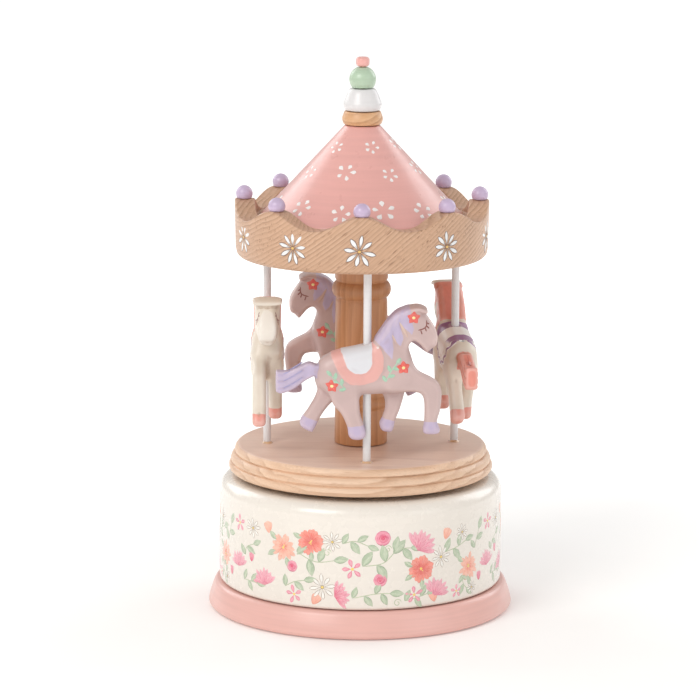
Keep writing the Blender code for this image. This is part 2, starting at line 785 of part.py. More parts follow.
def make_canopy(pivot):
    profile = [
        (0.0, CANOPY_FLOOR),
        (38.2 * MM, CANOPY_FLOOR),
        (38.2 * MM, CANOPY_PEAK - 0.3 * MM),
        (38.5 * MM, CANOPY_PEAK),
        (45.0 * MM, CANOPY_PEAK),
        (45.4 * MM, CANOPY_PEAK - 0.5 * MM),
        (45.1 * MM, 131.2 * MM),
        (44.7 * MM, 129.2 * MM),
        (43.7 * MM, CANOPY_BOTTOM),
        (0.0, CANOPY_BOTTOM),
    ]
    canopy = turned("canopy", profile, BEECH, pivot, SCALLOPS * SCALLOP_SIDES)
    for vertex in canopy.data.vertices:
        if vertex.co.z > CANOPY_PEAK - 1.0 * MM:
            angle = math.atan2(vertex.co.x, -vertex.co.y)
            vertex.co.z += rim_height(angle) - CANOPY_PEAK
    mortise_top = CANOPY_BOTTOM + TENON_LENGTH
    mortise = rods("mortise", [(0.0, 0.0)], TENON_RADIUS + GAP, 126.0 * MM, mortise_top)
    combine(canopy, mortise, "DIFFERENCE")
    socket_top = CANOPY_BOTTOM + POLE_DEPTH + GAP
    places = [(x, y) for x, y, heading in pole_places().values()]
    sockets = rods("sockets", places, POLE_RADIUS + GAP, 126.0 * MM, socket_top, TINY + 2)
    combine(canopy, sockets, "DIFFERENCE")
    places = around(KNOB_RING, 0.0, SCALLOPS)
    pegs = rods("peg_holes", places, PEG_RADIUS + GAP, 144.7 * MM, 151.0 * MM, TINY)
    combine(canopy, pegs, "DIFFERENCE")


def make_knobs(pivot):
    seat = CANOPY_PEAK + GAP - KNOB_HEIGHT
    dip = math.degrees(math.asin(seat / KNOB_RADIUS))
    for number, (x, y) in enumerate(around(KNOB_RING, 0.0, SCALLOPS), 1):
        profile = [
            (0.0, KNOB_RADIUS),
            *arc(0.0, 0.0, KNOB_RADIUS, 65, dip, 4),
            (PEG_RADIUS, seat),
            (PEG_RADIUS, seat - 3.2 * MM),
            (0.0, seat - 3.2 * MM),
        ]
        knob = turned(f"knob_{number}", profile, LILAC_PAINT, pivot, TINY + 2)
        knob.location = (x, y, KNOB_HEIGHT)


def make_roof(pivot):
    shoulder = 143.2 * MM
    hole = DOWEL_RADIUS + GAP
    profile = [
        (0.0, CONE_TOP),
        ((CONE_APEX - CONE_TOP) * CONE_SLOPE, CONE_TOP),
        ((CONE_APEX - shoulder) * CONE_SLOPE, shoulder),
        (36.5 * MM, 142.7 * MM),
        (36.3 * MM, CONE_BASE),
        (0.0, CONE_BASE),
    ]
    roof = turned("roof_cone", profile, ROOF_PAINT, pivot, ROUND)
    bore = rods("dowel_hole", [(0.0, 0.0)], hole, 164.7 * MM, 180.0 * MM, TINY)
    combine(roof, bore, "DIFFERENCE")


def bead(name, profile, material, pivot):
    """A finial piece, bored for the dowel."""
    hole = DOWEL_RADIUS + GAP
    ring = [(hole, profile[0][1]), *profile, (hole, profile[-1][1])]
    turned(name, ring, material, pivot, SMALL, ring=True)


def make_finial(pivot):
    collar = [(6.4, 179.7), (6.7, 178.9), (7.2, 177.6), (7.28, 176.7), (7.0, 175.7), (6.6, 175.0)]
    skirt = [(4.5, 187.7), (5.3, 186.4), (6.0, 184.6), (6.7, 182.9), (6.88, 182.1)]
    skirt += [(6.7, 181.1), (6.2, 180.0)]
    bead("finial_collar", [(r * MM, z * MM) for r, z in collar], BEECH, pivot)
    bead("finial_skirt", [(r * MM, z * MM) for r, z in skirt], WHITE_PAINT, pivot)
    ball = arc(0.0, 190.9 * MM, 4.78 * MM, 66, -36, 6)
    bead("finial_ball", ball, GREEN_PAINT, pivot)
    dowel = [
        (0.0, 197.2 * MM),
        (DOWEL_RADIUS, 197.2 * MM),
        (DOWEL_RADIUS, 165.0 * MM),
        (0.0, 165.0 * MM),
    ]
    turned("finial_dowel", dowel, PLYWOOD, pivot, TINY)
    tip = [(0.0, 198.9), (1.8, 198.9), (2.39, 198.2), (2.39, 196.2), (1.9, 195.6), (0.0, 195.6)]
    made = turned("finial_tip", [(r * MM, z * MM) for r, z in tip], PINK_PAINT, pivot, 8)
    bore = rods("tip_hole", [(0.0, 0.0)], DOWEL_RADIUS + GAP, 194.0 * MM, 197.5 * MM, TINY)
    combine(made, bore, "DIFFERENCE")


# ---------------------------------------------------------------- horses
# Outlines are side views in millimetres: x forward from the pole, z up from the hooves.

TORSO = (
    (-17.5, 20.0), (-17.5, 25.5), (-16.0, 29.0), (-11.0, 31.5), (-4.0, 33.0), (2.5, 34.5), (8.5, 35.5),
    (14.0, 32.0), (15.5, 26.0), (14.5, 20.0), (10.0, 17.0), (-4.0, 16.0), (-12.0, 16.0),
)
HEAD = (
    (2.5, 33.0), (5.0, 38.5), (8.5, 43.5), (12.0, 46.0), (17.0, 46.5), (20.0, 45.0), (22.0, 42.5),
    (24.0, 39.0), (24.5, 36.0), (24.0, 33.5), (22.5, 32.5), (21.0, 31.0), (20.0, 32.0), (18.0, 34.5),
    (16.0, 35.5), (14.5, 34.0), (14.0, 31.0), (15.0, 27.0), (10.0, 26.0), (4.0, 28.0),
)
MANE = (
    (20.5, 46.0), (17.5, 47.5), (14.0, 47.0), (10.5, 45.5), (8.0, 43.0), (5.0, 39.0), (2.5, 35.0),
    (4.5, 34.0), (8.5, 38.5), (12.5, 42.5), (16.5, 44.5), (19.5, 45.0),
)
TAIL = (
    (-13.0, 27.0), (-17.0, 26.5), (-20.5, 27.5), (-24.0, 26.0), (-28.0, 24.5), (-31.5, 24.5),
    (-32.0, 24.0), (-32.0, 17.5), (-31.5, 17.0), (-30.0, 16.5), (-26.0, 18.0), (-21.0, 21.5),
    (-17.0, 23.0), (-13.0, 22.0),
)
HIND_OUTER = (
    (-13.0, 24.0), (-12.5, 14.5), (-9.0, 9.5), (-7.0, 5.0), (-6.5, 2.0), (-5.0, 0.5), (-2.0, 0.5),
    (-0.5, 2.0), (-1.0, 5.0), (-2.5, 10.0), (-3.0, 17.0), (-4.0, 24.0),
)
HIND_INNER = (
    (-17.0, 24.0), (-17.5, 16.5), (-20.5, 10.5), (-23.0, 7.0), (-23.5, 5.0), (-22.5, 3.5), (-19.5, 2.0),
    (-18.5, 3.0), (-16.0, 8.0), (-12.5, 12.5), (-7.0, 17.0), (-7.0, 24.0),
)
FORE_OUTER = (
    (8.0, 26.0), (14.5, 27.0), (18.5, 24.5), (22.5, 22.5), (25.0, 20.5), (26.0, 17.0), (25.5, 11.0),
    (24.5, 7.0), (25.5, 4.0), (24.5, 2.5), (20.5, 2.5), (19.5, 4.0), (20.0, 7.0), (20.0, 13.5),
    (19.0, 16.5), (16.5, 17.5), (7.0, 18.5),
)
FORE_INNER = (
    (5.0, 22.0), (6.5, 12.0), (5.5, 7.5), (4.5, 5.0), (5.5, 2.5), (8.5, 2.0), (9.5, 3.5), (10.0, 6.0),
    (12.0, 11.5), (13.5, 18.5), (12.0, 24.0),
)
# outline, half its thickness, how far its edge is rounded, and its middle across the horse
HORSE_SHAPES = (
    (TORSO, 5.4, 4.6, 0.0),
    (HEAD, 4.4, 2.4, 0.0),
    (MANE, 4.3, 1.2, 0.0),
    (TAIL, 2.3, 2.2, 0.0),
    (HIND_OUTER, 2.4, 1.7, -2.9),
    (HIND_INNER, 2.4, 1.7, 2.9),
    (FORE_OUTER, 2.4, 1.7, -2.9),
    (FORE_INNER, 2.4, 1.7, 2.9),
)


def rounded_slab(outline, half, rounding, middle):
    """A smooth outline in XZ, thickened across Y, with round edges."""
    curve = bpy.data.curves.new("slab", "CURVE")
    curve.dimensions = "2D"
    curve.fill_mode = "BOTH"
    curve.resolution_u = 3
    curve.extrude = (half - rounding) * MM
    curve.bevel_depth = rounding * MM
    curve.bevel_resolution = 2
    curve.offset = -rounding * MM
    spline = curve.splines.new("BEZIER")
    spline.bezier_points.add(len(outline) - 1)
    for point, (x, z) in zip(spline.bezier_points, outline):
        point.co = (x * MM, z * MM, 0.0)
        point.handle_left_type = "AUTO"
        point.handle_right_type = "AUTO"
    spline.use_cyclic_u = True
    slab = settled(add("slab", curve, collection=CUTTERS))
    slab.data.transform(Matrix.Rotation(math.pi / 2, 4, "X"))
    slab.data.transform(Matrix.Translation((0.0, middle * MM, 0.0)))
    return slab


def horse_body():
    """The slabs melted into one soft body, bored for the pole."""
    slabs = [rounded_slab(*shape) for shape in HORSE_SHAPES]
    soup = bmesh.new()
    for slab in slabs:
        soup.from_mesh(slab.data)
        bpy.data.objects.remove(slab, do_unlink=True)
    mesh = bpy.data.meshes.new("horse")
    soup.to_mesh(mesh)
    soup.free()
    horse = add("horse", mesh)
    melt = horse.modifiers.new("melt", "REMESH")
    melt.mode = "VOXEL"
    melt.voxel_size = HORSE_VOXEL
    soften = horse.modifiers.new("soften", "SMOOTH")
    soften.iterations = 6
    settled(horse)
    coarse = horse.modifiers.new("coarse", "DECIMATE")
    coarse.ratio = HORSE_TRIANGLES / (2 * len(horse.data.polygons))
    settled(horse)
    bore = rods("pole_bore", [(0.0, 0.0)], POLE_RADIUS + GAP, -5.0 * MM, 60.0 * MM, TINY + 2)
    combine(horse, bore, "DIFFERENCE")
    mesh = horse.data
    bpy.data.objects.remove(horse, do_unlink=True)
    return mesh


def make_horses(pivot):
    mesh = horse_body()
    mesh.shade_smooth()
    for side, (x, y, heading) in pole_places().items():
        paint = MAUVE_PAINT if side in ("front", "back") else IVORY_PAINT
        horse = add(f"horse_{side}", mesh.copy(), paint, pivot)
        horse.rotation_euler = (0.0, 0.0, heading + math.radians(HORSE_YAW[side]))
        horse.location = (x, y, HORSE_FOOT)


# ---------------------------------------------------------------- assembly


def build():
    base = new_pivot("base_pivot")
    drum = new_pivot("winding_pivot", base)
    carousel = new_pivot("carousel_pivot", drum)
    cylinder = new_pivot("cylinder_pivot", drum, (0.0, 0.0, CYLINDER_HEIGHT))
    governor = new_pivot("governor_pivot", drum, (0.0, GOVERNOR_Y, CYLINDER_HEIGHT))
    fly = new_pivot("fly_pivot", drum, (FLY_X, FLY_Y, 0.0))
    make_base(base)
    make_drum(drum)
    make_clutch_spring(drum)
    make_bedplate(drum)
    make_comb(drum)
    make_bearing("bearing_left", 14.1 * MM, drum)
    make_bearing("bearing_right", 36.8 * MM, drum)
    make_governor_frame(drum)
    make_drive(carousel)
    make_turntable(carousel)
    make_column(carousel)
    make_poles(carousel)
    make_canopy(carousel)
    make_knobs(carousel)
    make_roof(carousel)
    make_finial(carousel)
    make_horses(carousel)
    make_cylinder(cylinder)
    make_governor(governor)
    make_fly(fly)
    for made in PARTS.objects:
        if made.type == "MESH" and not made.name.startswith("horse"):
            made.data.shade_smooth()
            made.data.set_sharp_from_angle(angle=math.radians(35))


build()
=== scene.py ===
"""The looks of a painted carousel music box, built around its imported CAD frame.

The box's sizes are in millimetres up to the point where a mesh is made; the camera and the
lights are placed in metres. The front of the box faces -Y, and angles round it are in degrees
from the front, growing towards +X, its right-hand side.
"""

import json
import math

import bpy
import numpy as np
from mathutils import Matrix, Vector
from mathutils.bvhtree import BVHTree


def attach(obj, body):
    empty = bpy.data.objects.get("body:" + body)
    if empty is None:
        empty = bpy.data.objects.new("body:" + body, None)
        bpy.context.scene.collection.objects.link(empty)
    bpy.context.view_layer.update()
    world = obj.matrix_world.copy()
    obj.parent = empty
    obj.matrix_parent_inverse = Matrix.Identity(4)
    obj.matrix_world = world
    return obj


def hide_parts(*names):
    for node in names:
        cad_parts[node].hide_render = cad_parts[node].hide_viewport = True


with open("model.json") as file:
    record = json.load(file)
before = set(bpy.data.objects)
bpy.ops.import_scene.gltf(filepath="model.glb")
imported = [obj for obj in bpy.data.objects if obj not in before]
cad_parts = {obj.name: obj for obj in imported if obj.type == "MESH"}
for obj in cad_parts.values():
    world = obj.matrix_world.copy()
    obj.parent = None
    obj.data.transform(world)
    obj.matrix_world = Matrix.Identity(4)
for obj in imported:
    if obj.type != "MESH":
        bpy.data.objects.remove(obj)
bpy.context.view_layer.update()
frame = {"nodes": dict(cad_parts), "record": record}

MM = 0.001
FINE, ROUND, SMALL = 288, 128, 64  # sides of a turned piece
RANDOM = np.random.default_rng(11)

# ---------------------------------------------------------------- camera, light and floor

CAMERA_PLACE = (0.0, -1.28367, 0.34176)
CAMERA_PITCH, CAMERA_YAW, CAMERA_ROLL = math.radians(79.04), math.radians(0.18), math.radians(0.28)
CAMERA_LENS = 187.03


def make_camera():
    camera = bpy.data.objects.new("camera", bpy.data.cameras.new("camera"))
    bpy.context.scene.collection.objects.link(camera)
    turn = Matrix.Rotation(CAMERA_YAW, 4, "Z") @ Matrix.Rotation(CAMERA_PITCH, 4, "X")
    turn = turn @ Matrix.Rotation(CAMERA_ROLL, 4, "Z")
    camera.matrix_world = Matrix.Translation(CAMERA_PLACE) @ turn
    camera.data.lens = CAMERA_LENS
    camera.data.sensor_width = 36.0
    bpy.context.scene.camera = camera


def make_light(name, place, size, power, tint):
    """A square area light that faces the middle of the object."""
    data = bpy.data.lights.new(name, "AREA")
    data.shape = "SQUARE"
    data.size, data.energy, data.color = size, power, tint
    light = bpy.data.objects.new(name, data)
    bpy.context.scene.collection.objects.link(light)
    light.location = place
    light.rotation_euler = (Vector((0.0, 0.0, 0.1)) - Vector(place)).to_track_quat("-Z", "Y").to_euler()


SKY_LIGHT, SKY_SEEN = 0.6, 1.0  # strength of the even light, and of the backdrop as it is seen


def make_studio():
    world = bpy.data.worlds.new("studio")
    world.use_nodes = True
    tree = world.node_tree
    background = tree.nodes["Background"]
    background.inputs["Color"].default_value = (1.0, 0.99, 0.98, 1.0)
    path = tree.nodes.new("ShaderNodeLightPath")
    strength = tree.nodes.new("ShaderNodeMapRange")
    tree.links.new(path.outputs["Is Camera Ray"], strength.inputs[0])
    strength.inputs[3].default_value, strength.inputs[4].default_value = SKY_LIGHT, SKY_SEEN
    tree.links.new(strength.outputs[0], background.inputs["Strength"])
    bpy.context.scene.world = world
    bpy.context.scene.view_settings.view_transform = "Standard"
    make_light("key", (-0.75, -1.0, 0.95), 0.7, 9.0, (1.0, 0.98, 0.96))
    make_light("fill", (1.0, -0.8, 0.5), 0.8, 1.8, (0.96, 0.97, 1.0))
    make_light("rim_left", (-0.7, 0.7, 0.6), 0.6, 2.5, (0.97, 0.98, 1.0))
    make_light("rim_right", (0.75, 0.6, 0.55), 0.6, 2.5, (0.97, 0.98, 1.0))


# ---------------------------------------------------------------- materials


def tone(red, green, blue):
    """A display colour of 0 to 255 as a linear colour with alpha."""
    def linear(value):
        share = value / 255.0
        return share / 12.92 if share <= 0.04045 else ((share + 0.055) / 1.055) ** 2.4
    return (linear(red), linear(green), linear(blue), 1.0)


class Finish:
    """A Principled material, with short names for the nodes that feed it."""

    def __init__(self, name, **plain):
        self.material = bpy.data.materials.new(name)
        self.material.use_nodes = True
        self.tree = self.material.node_tree
        self.shader = self.tree.nodes["Principled BSDF"]
        for socket, value in plain.items():
            self.shader.inputs[socket.replace("_", " ")].default_value = value
        self.place = self.node("TexCoord").outputs["Object"]

    def node(self, kind, inputs=None, **settings):
        made = self.tree.nodes.new("ShaderNode" + kind)
        for key, value in settings.items():
            setattr(made, key, value)
        for key, value in (inputs or {}).items():
            if isinstance(value, bpy.types.NodeSocket):
                self.tree.links.new(value, made.inputs[key])
            else:
                made.inputs[key].default_value = value
        return made

    def feed(self, socket, value):
        self.tree.links.new(value, self.shader.inputs[socket])

    def stretch(self, x, y, z, vector=None):
        inputs = {0: vector or self.place, 1: (x, y, z)}
        return self.node("VectorMath", inputs, operation="MULTIPLY").outputs[0]

    def turn(self, x, y, z):
        angles = tuple(math.radians(angle) for angle in (x, y, z))
        return self.node("Mapping", {"Vector": self.place, "Rotation": angles}).outputs[0]

    def noise(self, scale, detail=2.0, vector=None, rough=0.5):
        inputs = {"Vector": vector or self.place, "Scale": scale, "Detail": detail}
        inputs["Roughness"] = rough
        return self.node("TexNoise", inputs).outputs["Fac"]

    def streaks(self, detail, x, y, z, vector=None, rough=0.5):
        """Noise drawn out into streaks, by how fast it changes along x, y and z."""
        return self.noise(1.0, detail, self.stretch(x, y, z, vector), rough)

    def math(self, operation, *values, clamp=False):
        inputs = dict(enumerate(values))
        return self.node("Math", inputs, operation=operation, use_clamp=clamp).outputs[0]

    def ramp(self, factor, *stops):
        made = self.node("ValToRGB", {"Fac": factor})
        band = made.color_ramp
        while len(band.elements) < len(stops):
            band.elements.new(0.5)
        for element, (position, colour) in zip(band.elements, stops):
            element.position = position
            element.color = colour
        return made.outputs["Color"]

    def share(self, factor, low, high, to_low=0.0, to_high=1.0):
        """A factor spread from one range onto another, and held inside it."""
        inputs = {0: factor, 1: low, 2: high, 3: to_low, 4: to_high}
        return self.node("MapRange", inputs).outputs[0]

    def mix(self, factor, first, second, blend="MIX"):
        inputs = {0: factor, 6: first, 7: second}
        return self.node("Mix", inputs, data_type="RGBA", blend_type=blend).outputs[2]

    def shade(self, colour, factor, low, high):
        """A colour made darker or lighter by a factor from 0.3 to 0.7."""
        grey = self.ramp(factor, (0.3, (low, low, low, 1.0)), (0.7, (high, high, high, 1.0)))
        return self.mix(1.0, colour, grey, "MULTIPLY")

    def done(self, colour, roughness, normal):
        """Feeds the shader and gives the finished material."""
        for socket, value in (("Base Color", colour), ("Roughness", roughness), ("Normal", normal)):
            self.feed(socket, value)
        return self.material

    def attribute(self, name, output="Fac"):
        return self.node("Attribute", attribute_name=name).outputs[output]

    def bump(self, height, distance, strength=1.0, over=None):
        inputs = {"Height": height, "Distance": distance, "Strength": strength}
        if over is not None:
            inputs["Normal"] = over
        return self.node("Bump", inputs).outputs["Normal"]


def painted(name, colour, roughness=0.34, streak=0.05, coat=0.35, grain=0.0, cloud=0.03):
    """Brushed paint on turned wood: faint rings of the brush, cloudy patches and a soft coat."""
    finish = Finish(name, Coat_Weight=coat, Coat_Roughness=0.22)
    rings = finish.streaks(3.0, 25.0, 25.0, 900.0)
    clouds = finish.noise(60.0, 3.0)
    specks = finish.noise(2600.0, 2.0)
    shaded = finish.shade(tone(*colour), rings, 1.0 - streak, 1.0 + streak * 0.5)
    shaded = finish.shade(shaded, clouds, 1.0 - cloud, 1.0 + 0.4 * cloud)
    rough = finish.share(finish.noise(240.0, 4.0), 0.3, 0.7, roughness - 0.06, roughness + 0.1)
    fibres = finish.streaks(2.0, 90.0, 1400.0, 1400.0)
    skin = finish.bump(specks, 0.01 * (1.0 - coat) * MM, 0.4)
    skin = finish.bump(rings, 0.03 * MM, 0.5, skin)
    if grain:
        skin = finish.bump(fibres, 0.03 * MM, grain, skin)
    return finish.done(shaded, rough, skin)


WOOD_ROUGHNESS = 0.42
REFLECTION_FOOT, REFLECTION_FULL = 59.1, 59.2  # the heights where a wood's painted reflection on its upper face starts and is full
# how strongly the painted reflection tints a wood's upper face
REFLECTION_SHARE = 0.5


def wooden(name, tones, turn, spacing, pith, line=0.5, fleck=0.5, fleck_run=200.0, top_reflection=None):
    """Planed wood of a pale, a middle and a dark tone. The fibres run along X once the object
    is turned, and its rings are round a pith at (y, z) there. A painted reflection tints its upper face."""
    finish = Finish(name, Coat_Weight=0.15, Coat_Roughness=0.3)
    pale, middle, dark = (tone(*colour) for colour in tones)
    place = finish.turn(*turn)
    apart = finish.node("SeparateXYZ", {0: place})
    wander = finish.streaks(2.0, 14.0, 70.0, 70.0, place)
    ripple = finish.streaks(3.0, 60.0, 500.0, 500.0, place)
    across = finish.math("SUBTRACT", apart.outputs[1], pith[0] * MM)
    above = finish.math("SUBTRACT", apart.outputs[2], pith[1] * MM)
    squares = finish.math("ADD", finish.math("POWER", across, 2.0), finish.math("POWER", above, 2.0))
    ring = finish.math("DIVIDE", finish.math("SQRT", squares), spacing * MM)
    ring = finish.math("ADD", ring, finish.math("MULTIPLY", wander, 2.4))
    ring = finish.math("ADD", ring, finish.math("MULTIPLY", ripple, 0.4))
    season = finish.math("FRACT", ring)
    late = tuple(middle[i] + (dark[i] - middle[i]) * line for i in range(3)) + (1.0,)
    colour = finish.ramp(season, (0.0, pale), (0.5, middle), (0.88, late), (1.0, pale))
    patches = finish.streaks(2.0, 20.0, 160.0, 160.0, place)
    even = finish.share(patches, 0.35, 0.65, 0.0, 0.75)
    colour = finish.mix(even, colour, middle)
    fibres = finish.streaks(4.0, 110.0, 2600.0, 2600.0, place, 0.6)
    colour = finish.shade(colour, fibres, 0.92, 1.05)
    bands = finish.streaks(2.0, 9.0, 70.0, 70.0, place)
    colour = finish.shade(colour, bands, 0.93, 1.04)
    for run, width, share in ((fleck_run, 1100.0, 1.0), (fleck_run * 2.2, 2100.0, 0.7)):
        drawn_out = finish.stretch(run, width, width, place)
        cells = finish.node("TexVoronoi", {"Vector": drawn_out, "Scale": 1.0})
        flecks = finish.share(cells.outputs["Distance"], 0.14, 0.3, 1.0, 0.0)
        thick = finish.streaks(2.0, 60.0, 420.0, 420.0, place)
        here = finish.share(thick, 0.42, 0.6)
        flecks = finish.math("MULTIPLY", finish.math("MULTIPLY", flecks, here), fleck * share)
        colour = finish.mix(flecks, colour, dark)
    # painted reflection: the upper face is tinted towards a paler colour
    if top_reflection:
        height = finish.node("SeparateXYZ", {0: finish.place}).outputs[2]
        top = finish.share(height, REFLECTION_FOOT * MM, REFLECTION_FULL * MM, 0.0, REFLECTION_SHARE)
        colour = finish.mix(top, colour, tone(*top_reflection))
    rough = finish.share(fibres, 0.3, 0.7, WOOD_ROUGHNESS + 0.1, WOOD_ROUGHNESS - 0.05)
    skin = finish.bump(fibres, 0.03 * MM, 0.6)
    return finish.done(colour, rough, finish.bump(season, 0.015 * MM, 0.3, skin))


def metallic(name, colour, roughness, stretch, wear):
    """Worked metal: fine tool marks along one way, and a cloudy tarnish."""
    finish = Finish(name, Metallic=1.0)
    marks = finish.streaks(3.0, *stretch)
    tarnish = finish.noise(220.0, 4.0)
    shaded = finish.shade(tone(*colour), marks, 0.88, 1.04)
    shaded = finish.mix(finish.share(tarnish, 0.5, 0.75, 0.0, 0.5), shaded, tone(*wear))
    rough = finish.share(tarnish, 0.3, 0.7, roughness, roughness + 0.2)
    return finish.done(shaded, rough, finish.bump(marks, 0.02 * MM, 0.6))


def felted(name, colour):
    """Pressed wool: tangled fibres that catch the light."""
    finish = Finish(name, Sheen_Weight=0.5, Sheen_Roughness=0.5)
    tangle = finish.noise(3200.0, 5.0, None, 0.7)
    clumps = finish.noise(420.0, 3.0)
    shaded = finish.shade(tone(*colour), tangle, 0.72, 1.12)
    shaded = finish.shade(shaded, clumps, 0.88, 1.05)
    rough = finish.share(clumps, 0.3, 0.7, 0.86, 0.98)
    return finish.done(shaded, rough, finish.bump(tangle, 0.15 * MM, 0.8))


PLY_LAYERS = 1.3  # thickness of a pale and a dark layer together


def layered(name, pale, dark):
    """Thin plywood: level layers, alternately pale and dark."""
    finish = Finish(name)
    pale, dark = tone(*pale), tone(*dark)
    height = finish.node("SeparateXYZ", {0: finish.place}).outputs[2]
    layer = finish.math("FRACT", finish.math("DIVIDE", height, PLY_LAYERS * MM))
    fibres = finish.streaks(4.0, 150.0, 2400.0, 2400.0)
    colour = finish.ramp(layer, (0.45, pale), (0.5, dark), (0.95, dark), (1.0, pale))
    colour = finish.shade(colour, fibres, 0.84, 1.06)
    rough = finish.share(fibres, 0.3, 0.7, 0.7, 0.5)
    return finish.done(colour, rough, finish.bump(fibres, 0.05 * MM, 0.6))


def moulded(name, colour):
    """Moulded nylon, a little translucent, with a fine matt grain."""
    finish = Finish(name, Subsurface_Weight=0.15, Subsurface_Radius=(0.001, 0.001, 0.001))
    grain = finish.noise(1800.0, 3.0)
    shaded = finish.shade(tone(*colour), finish.noise(90.0), 0.95, 1.02)
    rough = finish.share(grain, 0.3, 0.7, 0.38, 0.55)
    return finish.done(shaded, rough, finish.bump(grain, 0.01 * MM, 0.5))


def print_finish(name, ground, thin, roughness, coat):
    """Strokes of a print or of a small brush, coloured by each stroke's own tint.
    A thin one lets the ground show through in streaks and blooms."""
    finish = Finish(name, Coat_Weight=coat, Coat_Roughness=0.22)
    tint = finish.attribute("tint", "Color")
    flow = finish.attribute("flow", "Vector")
    streaks = finish.streaks(3.0, 2.2, 7.0, 40.0, flow)
    blooms = finish.noise(700.0, 3.0)
    edge = finish.math("ABSOLUTE", finish.node("SeparateXYZ", {0: flow}).outputs[1])
    colour = finish.shade(tint, streaks, 0.9, 1.06)
    veil = finish.math("MULTIPLY", finish.share(streaks, 0.35, 0.7), thin)
    veil = finish.math("ADD", veil, finish.share(blooms, 0.45, 0.75, 0.0, thin * 0.6), clamp=True)
    inner = finish.share(edge, 0.55, 0.95, 1.0, 0.25)
    colour = finish.mix(finish.math("MULTIPLY", veil, inner), colour, tone(*ground))
    rough = finish.share(blooms, 0.3, 0.7, roughness - 0.05, roughness + 0.08)
    return finish.done(colour, rough, finish.bump(streaks, 0.02 * MM, 0.3))


# ---------------------------------------------------------------- turned pieces


def link_mesh(name, points, faces, material, smooth=True):
    """A new mesh object from points in millimetres."""
    mesh = bpy.data.meshes.new(name)
    mesh.from_pydata((np.asarray(points) * MM).tolist(), [], [list(face) for face in faces])
    mesh.validate()
    mesh.materials.append(material)
    if smooth:
        mesh.shade_smooth()
    made = bpy.data.objects.new(name, mesh)
    bpy.context.scene.collection.objects.link(made)
    return made


def eased(profile, radius=0.35, steps=4, closed=False):
    """A profile with its corners rounded."""
    points = [np.array(point, float) for point in profile]
    out = []
    last = len(points)
    for i, corner in enumerate(points):
        if not closed and i in (0, last - 1):
            out.append(tuple(corner))
            continue
        before, after = points[i - 1] - corner, points[(i + 1) % last] - corner
        back, on = np.linalg.norm(before), np.linalg.norm(after)
        reach = min(radius, 0.45 * back, 0.45 * on)
        start, end = corner + before / back * reach, corner + after / on * reach
        for share in np.linspace(0.0, 1.0, steps + 1):
            bend = start * (1 - share) ** 2 + 2 * corner * share * (1 - share) + end * share**2
            out.append(tuple(bend))
    return out


def polar(points):
    """The angle from the front and the distance from the axis of each point."""
    return np.arctan2(points[:, 0], -points[:, 1]), np.hypot(points[:, 0], points[:, 1])


def round_axis(reach, angle, height):
    """Points at distances from the axis, at angles from the front."""
    return np.stack((reach * np.sin(angle), -reach * np.cos(angle), height), axis=1)


def ring_place(radius, heading):
    """The place (x, y) on a ring round the axis, at one angle from the front."""
    return (radius * math.sin(heading), -radius * math.cos(heading))


def arc(r, z, radius, start, end, steps):
    """Points on an arc round (r, z), from one angle to another."""
    angles = np.radians(np.linspace(start, end, steps + 1))
    return [(r + radius * math.cos(a), z + radius * math.sin(a)) for a in angles]


def divided(profile, longest):
    """A profile with its long runs divided."""
    out = [profile[0]]
    for first, second in zip(profile, profile[1:]):
        count = max(1, int(math.dist(first, second) / longest))
        for i in range(1, count + 1):
            share = i / count
            out.append(tuple(a + (b - a) * share for a, b in zip(first, second)))
    return out


def lathe(name, profile, sides, material, closed=False, centre=(0.0, 0.0), shape=None):
    """A turned piece. Its profile runs down the outer side, from the axis back to the axis,
    or is a closed ring. shape moves the points once they are turned."""
    angles = np.linspace(0.0, 2 * math.pi, sides, endpoint=False)
    points, rows = [], []
    for r, z in profile:
        if r < 1e-9:
            rows.append([len(points)] * sides)
            points.append((0.0, 0.0, z))
            continue
        rows.append(list(range(len(points), len(points) + sides)))
        points += [(r * math.sin(a), -r * math.cos(a), z) for a in angles]
    pairs = list(zip(rows, rows[1:]))
    if closed:
        pairs.append((rows[-1], rows[0]))
    faces = []
    for upper, lower in pairs:
        for i in range(sides):
            j = (i + 1) % sides
            loop = (upper[i], lower[i], lower[j], upper[j])
            faces.append(tuple(dict.fromkeys(loop)))
    points = np.array(points)
    if shape is not None:
        points = shape(points)
    points[:, :2] += centre
    return link_mesh(name, points, faces, material)


def stands_for(piece, body, slot, *nodes):
    """A visible piece that rides on a body and takes the place of CAD nodes."""
    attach(piece, body)
    if nodes:
        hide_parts(*nodes)
    return piece


# ---------------------------------------------------------------- brush strokes


def teardrop(t):
    return np.sin(math.pi * t**1.6) ** 0.75


def leafy(t):
    return np.sin(math.pi * t**0.9) ** 0.9


def broad(t):
    return t**0.6 * np.sqrt(1.0 - t**5)


def bean(t):
    return np.sin(math.pi * np.clip(t, 0.0, 1.0)) ** 0.55


def lined(t):
    return np.minimum(1.0, 9.0 * np.minimum(t, 1.0 - t) + 0.15)


def smooth_line(points, steps=6):
    """A smooth open line through some points."""
    points = np.array(points, float)
    padded = np.vstack((2 * points[0] - points[1], points, 2 * points[-1] - points[-2]))
    out = []
    for a, b, c, d in zip(padded, padded[1:], padded[2:], padded[3:]):
        for t in np.linspace(0.0, 1.0, steps, endpoint=False):
            out.append(bend_through(a, b, c, d, t))
    return np.array([*out, points[-1]])


def bend_through(a, b, c, d, t):
    """A point on the Catmull-Rom curve from b to c."""
    return 0.5 * (2 * b + (c - a) * t + (2 * a - 5 * b + 4 * c - d) * t**2
                  + (3 * b - a - 3 * c + d) * t**3)


def smooth_loop(points, steps=8):
    """A smooth closed line through some points."""
    points = np.array(points, float)
    count = len(points)
    out = []
    for i in range(count):
        a, b, c, d = (points[(i + k) % count] for k in (-1, 0, 1, 2))
        out += [bend_through(a, b, c, d, t) for t in np.linspace(0.0, 1.0, steps, endpoint=False)]
    return np.array(out)


def rgb(colour):
    return np.array(tone(*colour)[:3])


